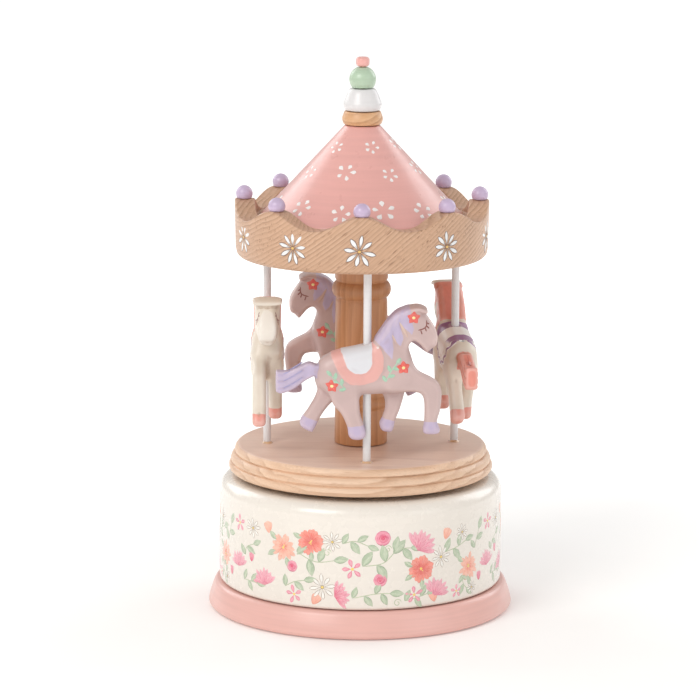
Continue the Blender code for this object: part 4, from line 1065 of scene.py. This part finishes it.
FORE_OUTER = (
    (8.0, 26.0), (14.5, 27.0), (18.5, 24.5), (22.5, 22.5), (25.0, 20.5), (26.0, 17.0), (25.5, 11.0),
    (24.5, 7.0), (25.5, 4.0), (24.5, 2.5), (20.5, 2.5), (19.5, 4.0), (20.0, 7.0), (20.0, 13.5),
    (19.0, 16.5), (16.5, 17.5), (7.0, 18.5),
)
FORE_INNER = (
    (5.0, 22.0), (6.5, 12.0), (5.5, 7.5), (4.5, 5.0), (5.5, 2.5), (8.5, 2.0), (9.5, 3.5), (10.0, 6.0),
    (12.0, 11.5), (13.5, 18.5), (12.0, 24.0),
)
CREST = ((13.5, 46.5), (17.5, 47.5), (20.5, 46.5), (20.5, 45.5), (17.5, 46.5), (13.5, 45.5))
HORSE_SHAPES = (  # outline, half thickness, rounding of its edge, middle across the horse, melt
    (TORSO, 5.4, 4.6, 0.0, 1.0), (HEAD, 4.4, 1.5, 0.0, 2.2), (MANE, 4.4, 1.8, 0.0, 1.5),
    (CREST, 5.1, 0.4, 0.0, 1.0), (TAIL, 2.3, 0.9, 0.0, 0.8),
    (HIND_OUTER, 2.4, 1.7, -2.9, 2.4), (HIND_INNER, 2.4, 1.7, 2.9, 2.4),
    (FORE_OUTER, 2.4, 1.7, -2.9, 2.4), (FORE_INNER, 2.4, 1.7, 2.9, 2.4),
)
# Painted areas, as side views
SADDLE = (
    (-9.5, 33.0), (-8.5, 30.0), (-7.0, 26.5), (-4.5, 24.5), (-1.0, 24.5), (1.0, 26.5), (1.5, 30.0),
    (0.5, 38.0), (-9.5, 38.0),
)
PAD = (
    (-13.0, 31.5), (-11.5, 27.5), (-9.0, 23.0), (-5.5, 20.5), (-1.0, 20.5), (3.0, 22.0), (5.0, 25.0),
    (5.5, 29.0), (4.5, 33.0), (2.0, 35.0), (1.0, 39.0), (-13.0, 38.0),
)
LOCKS = (
    (1.0, 37.0), (3.0, 35.5), (5.5, 33.0), (8.5, 29.5), (9.0, 33.0), (8.5, 37.5), (10.0, 35.5), (11.5, 34.0),
    (12.5, 36.5), (11.0, 42.0), (13.0, 40.0), (15.5, 38.0), (16.0, 40.0), (15.0, 44.0), (14.5, 51.0),
    (7.0, 50.0), (0.5, 42.0),
)
DOCK = ((-34.0, 31.0), (-17.0, 31.0), (-17.0, 22.5), (-22.0, 18.5), (-27.0, 14.5), (-34.0, 14.5))
DOCK_HALF = 2.8  # how far the tail's colour reaches from the middle
HOOF_TOPS = ((-26.0, -15.0, 9.5, 5.0), (-9.0, 1.5, 5.0, 6.0), (3.0, 12.0, 8.0, 5.5), (17.5, 27.5, 7.0, 7.0))
MUZZLE_HEIGHT, MUZZLE_TALL, MUZZLE_WIDE, MUZZLE_BACK = 37.5, 6.5, 3.1, 17.0
TAIL_GROOVE = ((-33.5, 21.0), (-29.5, 21.0), (-26.5, 22.5), (-22.5, 25.0))
TAIL_GROOVES = [[(x, z + shift) for x, z in TAIL_GROOVE] for shift in (-2.5, 0.0, 2.5)]
MANE_GROOVE = ((9.0, 37.0), (8.5, 40.5), (10.0, 44.5))
MANE_GROOVES = [[(x + shift, z + shift) for x, z in MANE_GROOVE] for shift in (-4.0, 0.0, 2.5)]
FACE_START, FACE_RUN = 15.5, 7.0  # where the head starts to narrow, and over what length
FACE_TALLER, FACE_WIDER = 1.5, 0.3  # how far the face's oval is larger than the painted muzzle
RELIEF = (("pad", 0.2, 0.5), ("saddle", 0.12, 0.5), ("mane", 0.16, 0.6))  # area, height, soft edge
GROOVE_WIDTH, TAIL_DEPTH, MANE_DEPTH = 0.45, 0.2, 0.1
CREASE_ROUNDS = 5  # how often the creases are smoothed
POLE_BORE = 1.45
GRID = 0.36  # spacing of the field that the horse is drawn from
FIELD_LOW, FIELD_HIGH = (-34.2, -6.6, -1.6), (27.6, 6.6, 51.2)


def line_distance(x, z, starts, ends):
    """How far points lie from the nearest of some straight stretches."""
    nearest = np.full(x.shape, 1e9)
    for (ax, az), (bx, bz) in zip(starts, ends):
        ex, ez = bx - ax, bz - az
        share = np.clip(((x - ax) * ex + (z - az) * ez) / (ex * ex + ez * ez + 1e-12), 0.0, 1.0)
        nearest = np.minimum(nearest, (x - ax - share * ex) ** 2 + (z - az - share * ez) ** 2)
    return np.sqrt(nearest)


def signed_distance(x, z, outline):
    """How far points lie outside a closed outline; inside is negative."""
    ends = np.roll(outline, -1, axis=0)
    inside = np.zeros(x.shape, bool)
    for (ax, az), (bx, bz) in zip(outline, ends):
        if az != bz:
            crosses = (az > z) != (bz > z)
            inside ^= crosses & (x < ax + (z - az) / (bz - az) * (bx - ax))
    return np.where(inside, -1.0, 1.0) * line_distance(x, z, outline, ends)


def melted(first, second, reach):
    """A smooth union of two distance fields."""
    share = np.clip(0.5 + 0.5 * (second - first) / reach, 0.0, 1.0)
    return second * (1 - share) + first * share - reach * share * (1 - share)


def face_half(x, z, half, least):
    """Half the head's thickness: it narrows to an oval face in front."""
    tall, wide = MUZZLE_TALL + FACE_TALLER, MUZZLE_WIDE + FACE_WIDER
    oval = np.sqrt(np.clip(1.0 - ((z - MUZZLE_HEIGHT) / tall) ** 2, 0.0, 1.0))
    face = np.maximum(wide * oval, least)
    front = np.clip((x - FACE_START) / FACE_RUN, 0.0, 1.0)
    front = front * front * (3.0 - 2.0 * front)
    return half * (1.0 - front) + face * front


def horse_field(x, y, z):
    """Signed distance to the horse: rounded slabs melted together."""
    flat_x, flat_z = x[:, 0, :], z[:, 0, :]
    total = None
    for outline, half, rounding, middle, melt in HORSE_SHAPES:
        side = signed_distance(flat_x, flat_z, smooth_loop(outline))[:, None, :] + rounding
        if outline is HEAD:
            half = face_half(flat_x, flat_z, half, rounding)[:, None, :]
        depth = np.abs(y - middle) - half + rounding
        outer = np.sqrt(np.maximum(side, 0.0) ** 2 + np.maximum(depth, 0.0) ** 2)
        slab = np.minimum(np.maximum(side, depth), 0.0) + outer - rounding
        total = slab if total is None else melted(total, slab, melt)
    return np.maximum(total, POLE_BORE - np.hypot(x, y))


def surface_net(field, low, step):
    """The points and quads of the surface where a field crosses zero."""
    inside = field < 0.0
    size = np.array(field.shape)
    corners = [(i, j, k) for i in (0, 1) for j in (0, 1) for k in (0, 1)]

    def shifted(values, corner):
        return values[tuple(slice(c, n - 1 + c) for c, n in zip(corner, size))]

    count = sum(shifted(inside, corner).astype(np.int8) for corner in corners)
    cells = np.argwhere((count > 0) & (count < 8))
    index = np.full(size - 1, -1, np.int64)
    index[tuple(cells.T)] = np.arange(len(cells))
    total, crossings = np.zeros((len(cells), 3)), np.zeros(len(cells))
    for a in corners:
        for b in corners:
            if sum(b) - sum(a) != 1 or any(q < p for p, q in zip(a, b)):
                continue
            va, vb = field[tuple((cells + a).T)], field[tuple((cells + b).T)]
            cut = (va < 0.0) != (vb < 0.0)
            share = np.where(cut, va / np.where(cut, va - vb, 1.0), 0.0)
            spot = np.array(a) + (np.array(b) - np.array(a)) * share[:, None]
            total += np.where(cut[:, None], spot, 0.0)
            crossings += cut
    points = np.array(low) + (cells + total / crossings[:, None]) * step
    quads = []
    for axis in range(3):
        u, v = (axis + 1) % 3, (axis + 2) % 3
        one = np.zeros(3, int)
        one[axis] = 1
        near = inside[tuple(slice(0, n - o) for n, o in zip(size, one))]
        far = inside[tuple(slice(o, n) for n, o in zip(size, one))]
        edges = np.argwhere(near != far)
        for across in (u, v):
            edges = edges[(edges[:, across] > 0) & (edges[:, across] < size[across] - 1)]
        loop = []
        for du, dv in ((1, 1), (0, 1), (0, 0), (1, 0)):
            cell = edges.copy()
            cell[:, u] -= du
            cell[:, v] -= dv
            loop.append(index[tuple(cell.T)])
        loop = np.stack(loop, axis=1)
        outward = inside[tuple(edges.T)]
        quads.append(np.where(outward[:, None], loop, loop[:, ::-1]))
    return points, np.vstack(quads)


def soft_step(distance, width):
    """1 well inside an outline, 0 well outside it."""
    return np.clip(0.5 - distance / width, 0.0, 1.0)


def carve_horse():
    """The horse's points, faces and painted areas, in its own frame."""
    axes = [np.arange(a, b, GRID) for a, b in zip(FIELD_LOW, FIELD_HIGH)]
    x, y, z = np.meshgrid(*axes, indexing="ij")
    points, quads = surface_net(horse_field(x, y, z), FIELD_LOW, GRID)
    scratch = bpy.data.meshes.new("scratch")
    scratch.from_pydata(points.tolist(), [], quads.tolist())
    normals = np.zeros(len(points) * 3)
    scratch.vertices.foreach_get("normal", normals)
    bpy.data.meshes.remove(scratch)
    normals = normals.reshape(-1, 3)
    px, py, pz = points.T
    areas = {"saddle": signed_distance(px, pz, smooth_loop(SADDLE))}
    areas["pad"] = signed_distance(px, pz, smooth_loop(PAD))
    areas["mane"] = signed_distance(px, pz, np.array(LOCKS))
    areas["tail"] = np.maximum(signed_distance(px, pz, np.array(DOCK)), np.abs(py) - DOCK_HALF)
    hooves = []
    for back, front, high, low_side in HOOF_TOPS:
        top = high + (low_side - high) * (px - back) / (front - back)
        hooves.append(np.maximum(np.maximum(back - px, px - front), pz - top))
    areas["hoof"] = np.min(hooves, axis=0)
    # the front of the muzzle, where a paler painted highlight goes
    muzzle = np.hypot(py / MUZZLE_WIDE, (pz - MUZZLE_HEIGHT) / MUZZLE_TALL) - 1.0
    areas["nose"] = np.maximum(muzzle * MUZZLE_WIDE, MUZZLE_BACK - px)
    relief = np.zeros(len(points))
    for area, height, width in RELIEF:
        relief += height * soft_step(areas[area], width)
    for grooves, depth in ((TAIL_GROOVES, TAIL_DEPTH), (MANE_GROOVES, MANE_DEPTH)):
        for groove in grooves:
            path = smooth_line(groove)
            away = line_distance(px, pz, path, path[1:])
            relief -= depth * np.exp(-((away / GROOVE_WIDTH) ** 2)) * np.abs(normals[:, 1]) ** 2
    areas["rise"] = pz
    points = points + normals * relief[:, None]
    edges = np.vstack((quads[:, :2], quads[:, 1:3], quads[:, 2:], quads[:, ::3]))
    bend = np.zeros(len(points))
    gaps = points[edges[:, 1]] - points[edges[:, 0]]
    np.add.at(bend, edges[:, 0], (gaps * normals[edges[:, 0]]).sum(1))
    np.add.at(bend, edges[:, 1], -(gaps * normals[edges[:, 1]]).sum(1))
    for _ in range(CREASE_ROUNDS):
        sums, counts = np.zeros(len(points)), np.zeros(len(points))
        for a, b in ((0, 1), (1, 0)):
            np.add.at(sums, edges[:, a], bend[edges[:, b]])
            np.add.at(counts, edges[:, a], 1.0)
        bend = 0.5 * bend + 0.5 * sums / counts
    areas["crease"] = bend / GRID
    return points, quads, areas


BAND_WIDTH, BAND_FADE = 4.0, (29.4, 30.2)  # the pad's dark rim, and the heights where it comes in


def horse_finish(name, body, wash_and_shade, wash_and_shade_strength, mane, hoof, pad, saddle, band, nose):
    """Painted resin: each area's edge is brushed by hand. The creases are darkened, partly by a thin wash
    that lies in them and partly as painted shade; the ridges and the muzzle's front get a painted highlight.
    """
    finish = Finish(name, Coat_Weight=0.3, Coat_Roughness=0.25)
    clouds, fine = finish.noise(120.0, 4.0), finish.noise(1100.0, 3.0)
    wobble = finish.share(finish.noise(420.0, 2.0), 0.3, 0.7, -0.16, 0.16)

    def inside(area, edge=0.0):
        moved = finish.math("ADD", finish.attribute(area), wobble)
        return finish.share(moved, edge - 0.07, edge + 0.07, 1.0, 0.0)

    colour = finish.shade(tone(*body), clouds, 0.93, 1.04)
    # painted highlight: the front of the muzzle is mixed towards a paler colour
    colour = finish.mix(finish.math("MULTIPLY", inside("nose"), 0.55), colour, tone(*nose))
    hair = finish.shade(tone(*mane), finish.streaks(3.0, 500.0, 500.0, 160.0), 0.93, 1.05)
    colour = finish.mix(inside("tail"), colour, hair)
    colour = finish.mix(inside("hoof"), colour, finish.shade(tone(*hoof), clouds, 0.94, 1.04))
    colour = finish.mix(inside("pad"), colour, finish.shade(tone(*pad), clouds, 0.95, 1.03))
    colour = finish.mix(inside("saddle"), colour, finish.shade(tone(*saddle), clouds, 0.96, 1.02))
    if band:
        within = finish.math("SUBTRACT", 1.0, inside("pad", -BAND_WIDTH))
        rim = finish.math("MULTIPLY", inside("pad", -0.1), within)
        rim = finish.math("MULTIPLY", rim, finish.share(finish.attribute("rise"), *BAND_FADE))
        colour = finish.mix(rim, colour, finish.shade(tone(*band), clouds, 0.9, 1.05))
    colour = finish.mix(inside("mane"), colour, hair)
    # darkening in the creases: partly a thin brown wash, partly painted shade
    crease = finish.share(finish.attribute("crease"), 0.02, 0.22)
    crease = finish.math("MULTIPLY", crease, finish.share(fine, 0.3, 0.7, 0.5 * wash_and_shade_strength, wash_and_shade_strength))
    colour = finish.mix(crease, colour, tone(*wash_and_shade))
    # painted highlight: convex ridges are mixed towards a paler colour
    ridge_highlight = finish.share(finish.attribute("crease"), -0.35, -0.08, 0.22, 0.0)
    colour = finish.mix(ridge_highlight, colour, tone(*nose))
    rough = finish.share(clouds, 0.3, 0.7, 0.34, 0.5)
    return finish.done(colour, rough, finish.bump(fine, 0.03 * MM, 0.5))


MAUVE_HORSE = horse_finish(
    "mauve_horse", (198, 172, 168), (160, 124, 122), 0.3, (186, 172, 198), (188, 172, 198),
    (222, 166, 158), (216, 216, 220), None, (224, 200, 194),
)
IVORY_HORSE = horse_finish(
    "ivory_horse", (222, 210, 194), (158, 126, 100), 0.6, (226, 140, 124), (226, 150, 136),
    (230, 224, 216), (236, 232, 226), (150, 104, 142), (236, 230, 222),
)
LASHES = (
    ((17.5, 39.5), (19.5, 40.0), (20.5, 41.0), (20.5, 43.0)), ((18.5, 39.5), (19.0, 38.0)),
    ((20.0, 40.5), (20.5, 39.0)), ((20.5, 41.0), (21.5, 40.0)), ((20.5, 42.0), (21.5, 41.5)),
)
LASH_BROWN = (128, 62, 50)
HORSE_FLOWERS = ((16.0, 44.0), (12.5, 26.5), (-12.5, 20.0))
SPRAYS = (((6.5, 21.5), (8.0, 25.0), (10.5, 28.5)), ((-7.5, 19.0), (-10.5, 21.5), (-13.0, 24.0)))
SPRAY_LEAVES, SPRAY_LEAN = 5, 52.0
MINT_LEAF, RED_PETAL = (2.5, 0.72), (2.4, 0.95)  # length and half width
TAN_LOCKS = (((8.5, 38.0), (10.0, 35.0), 0.35), ((11.0, 42.5), (14.0, 37.0), 0.5))
MINT, FLOWER_RED, FLOWER_HEART = (160, 200, 172), (222, 74, 60), (248, 232, 160)
SWAG_PURPLE, SWAG_WHITE = (146, 98, 138), (240, 236, 232)
SWAG_LOOPS, SWAG_DROP = 8, 1.5
SWAG_MIDDLE, SWAG_REACH = (-3.8, 31.0), (8.4, 9.0)
TAIL_LILAC, TAIL_CORAL = (160, 152, 192), (210, 118, 104)
TAN, TAN_TIP, FLOWER_TIP, SADDLE_DOT = (206, 178, 160), (204, 172, 156), (228, 86, 70), (240, 222, 216)
# a small white dot near the front top of the saddle cloth
SADDLE_DOT_PLACE = (3.5, 33.5)
HORSE_FOOT = 68.0

carved, quads, areas = carve_horse()
tree = BVHTree.FromPolygons([Vector(point) for point in carved.tolist()], quads.tolist())


def on_horse(side):
    """Places strokes on one side of the horse: -1 is its outer side, 1 its inner side."""
    def place(u, v, height):
        out = np.zeros((len(u), 3))
        for i in range(len(u)):
            hit = tree.ray_cast(Vector((u[i], 20.0 * side, v[i])), Vector((0.0, -side, 0.0)))[0]
            y = hit.y if hit else 0.0
            out[i] = (u[i], y + side * height[i], v[i])
        return out
    return place


def aim(start, end):
    """Heading in degrees and length from one place to another."""
    return math.degrees(math.atan2(end[1] - start[1], end[0] - start[0])), math.dist(start, end)


def paint_spray(brush, stalk):
    """A stalk with mint leaves to either side of it and one at its tip."""
    brush.line(stalk, 0.2, MINT)
    for foot, heading, side in leaf_spots(stalk, SPRAY_LEAVES):
        angle = math.degrees(heading) + SPRAY_LEAN * side
        brush.petal(foot, angle, 0.0, *MINT_LEAF, MINT, MINT, bean)


def paint_swag(brush):
    """Loops of purple edged with white, hung round the saddle cloth."""
    rim = []
    for number in range(SWAG_LOOPS + 1):
        turn = math.pi * (1.0 + number / SWAG_LOOPS)
        along = SWAG_MIDDLE[0] + SWAG_REACH[0] * math.cos(turn)
        rim.append((along, SWAG_MIDDLE[1] + SWAG_REACH[1] * math.sin(turn)))
    for start, end in zip(rim, rim[1:]):
        outward = math.radians(aim(start, end)[0] - 90.0)
        halfway = ((start[0] + end[0]) / 2, (start[1] + end[1]) / 2)
        middle = away_from(halfway, SWAG_DROP, outward)
        brush.line((start, middle, end), 0.85, SWAG_WHITE, 1)
        brush.line((start, middle, end), 0.5, SWAG_PURPLE, 2)


def decorate(brush, flowered):
    """What is painted on one side of a horse with a fine brush."""
    for line in LASHES:
        brush.line(line, 0.25, LASH_BROWN)
    for groove in TAIL_GROOVES:
        brush.line(groove[1:], 0.26, TAIL_LILAC if flowered else TAIL_CORAL)
    if not flowered:
        paint_swag(brush)
        return
    for start, end, width in TAN_LOCKS:
        heading, length = aim(start, end)
        brush.petal(start, heading, 0.0, length, width, TAN, TAN_TIP, bean)
    for stalk in SPRAYS:
        paint_spray(brush, stalk)
    for centre in HORSE_FLOWERS:
        for i in range(5):
            angle = 92.0 + 72.0 * i + jitter(6.0)
            brush.petal(centre, angle, 0.0, *RED_PETAL, FLOWER_RED, FLOWER_TIP, leafy, 1)
        brush.dot(centre, 0.6, FLOWER_HEART, 3)
    # a small white dot near the front top of the saddle cloth
    brush.dot(SADDLE_DOT_PLACE, 0.45, SADDLE_DOT, 1)


def made_horse(side):
    """One horse on its pole, with its painted details."""
    flowered = side in ("front", "back")
    slot = "mauve_paint" if flowered else "ivory_paint"
    x, y, heading = places[side]
    c, s = math.cos(heading), math.sin(heading)

    def stood(points):
        turned = points @ np.array(((c, s, 0.0), (-s, c, 0.0), (0.0, 0.0, 1.0)))
        return turned + (x, y, HORSE_FOOT)

    horse = link_mesh(f"horse_{side}_carved", stood(carved), quads, MAUVE_HORSE if flowered else IVORY_HORSE)
    for name, values in areas.items():
        horse.data.attributes.new(name, "FLOAT", "POINT").data.foreach_set("value", values)
    stands_for(horse, "carousel", slot, f"horse_{side}")
    details = Brush(None, 0.05)
    for way in (-1, 1):
        details.place = on_horse(way)
        start = len(details.faces)
        decorate(details, flowered)
        if way == 1:
            details.faces[start:] = [face[::-1] for face in details.faces[start:]]
    details.points = [stood(points) for points in details.points]
    stands_for(details.piece(f"horse_{side}_paint", brush_paint), "carousel", slot)


for side in SIDES:
    made_horse(side)
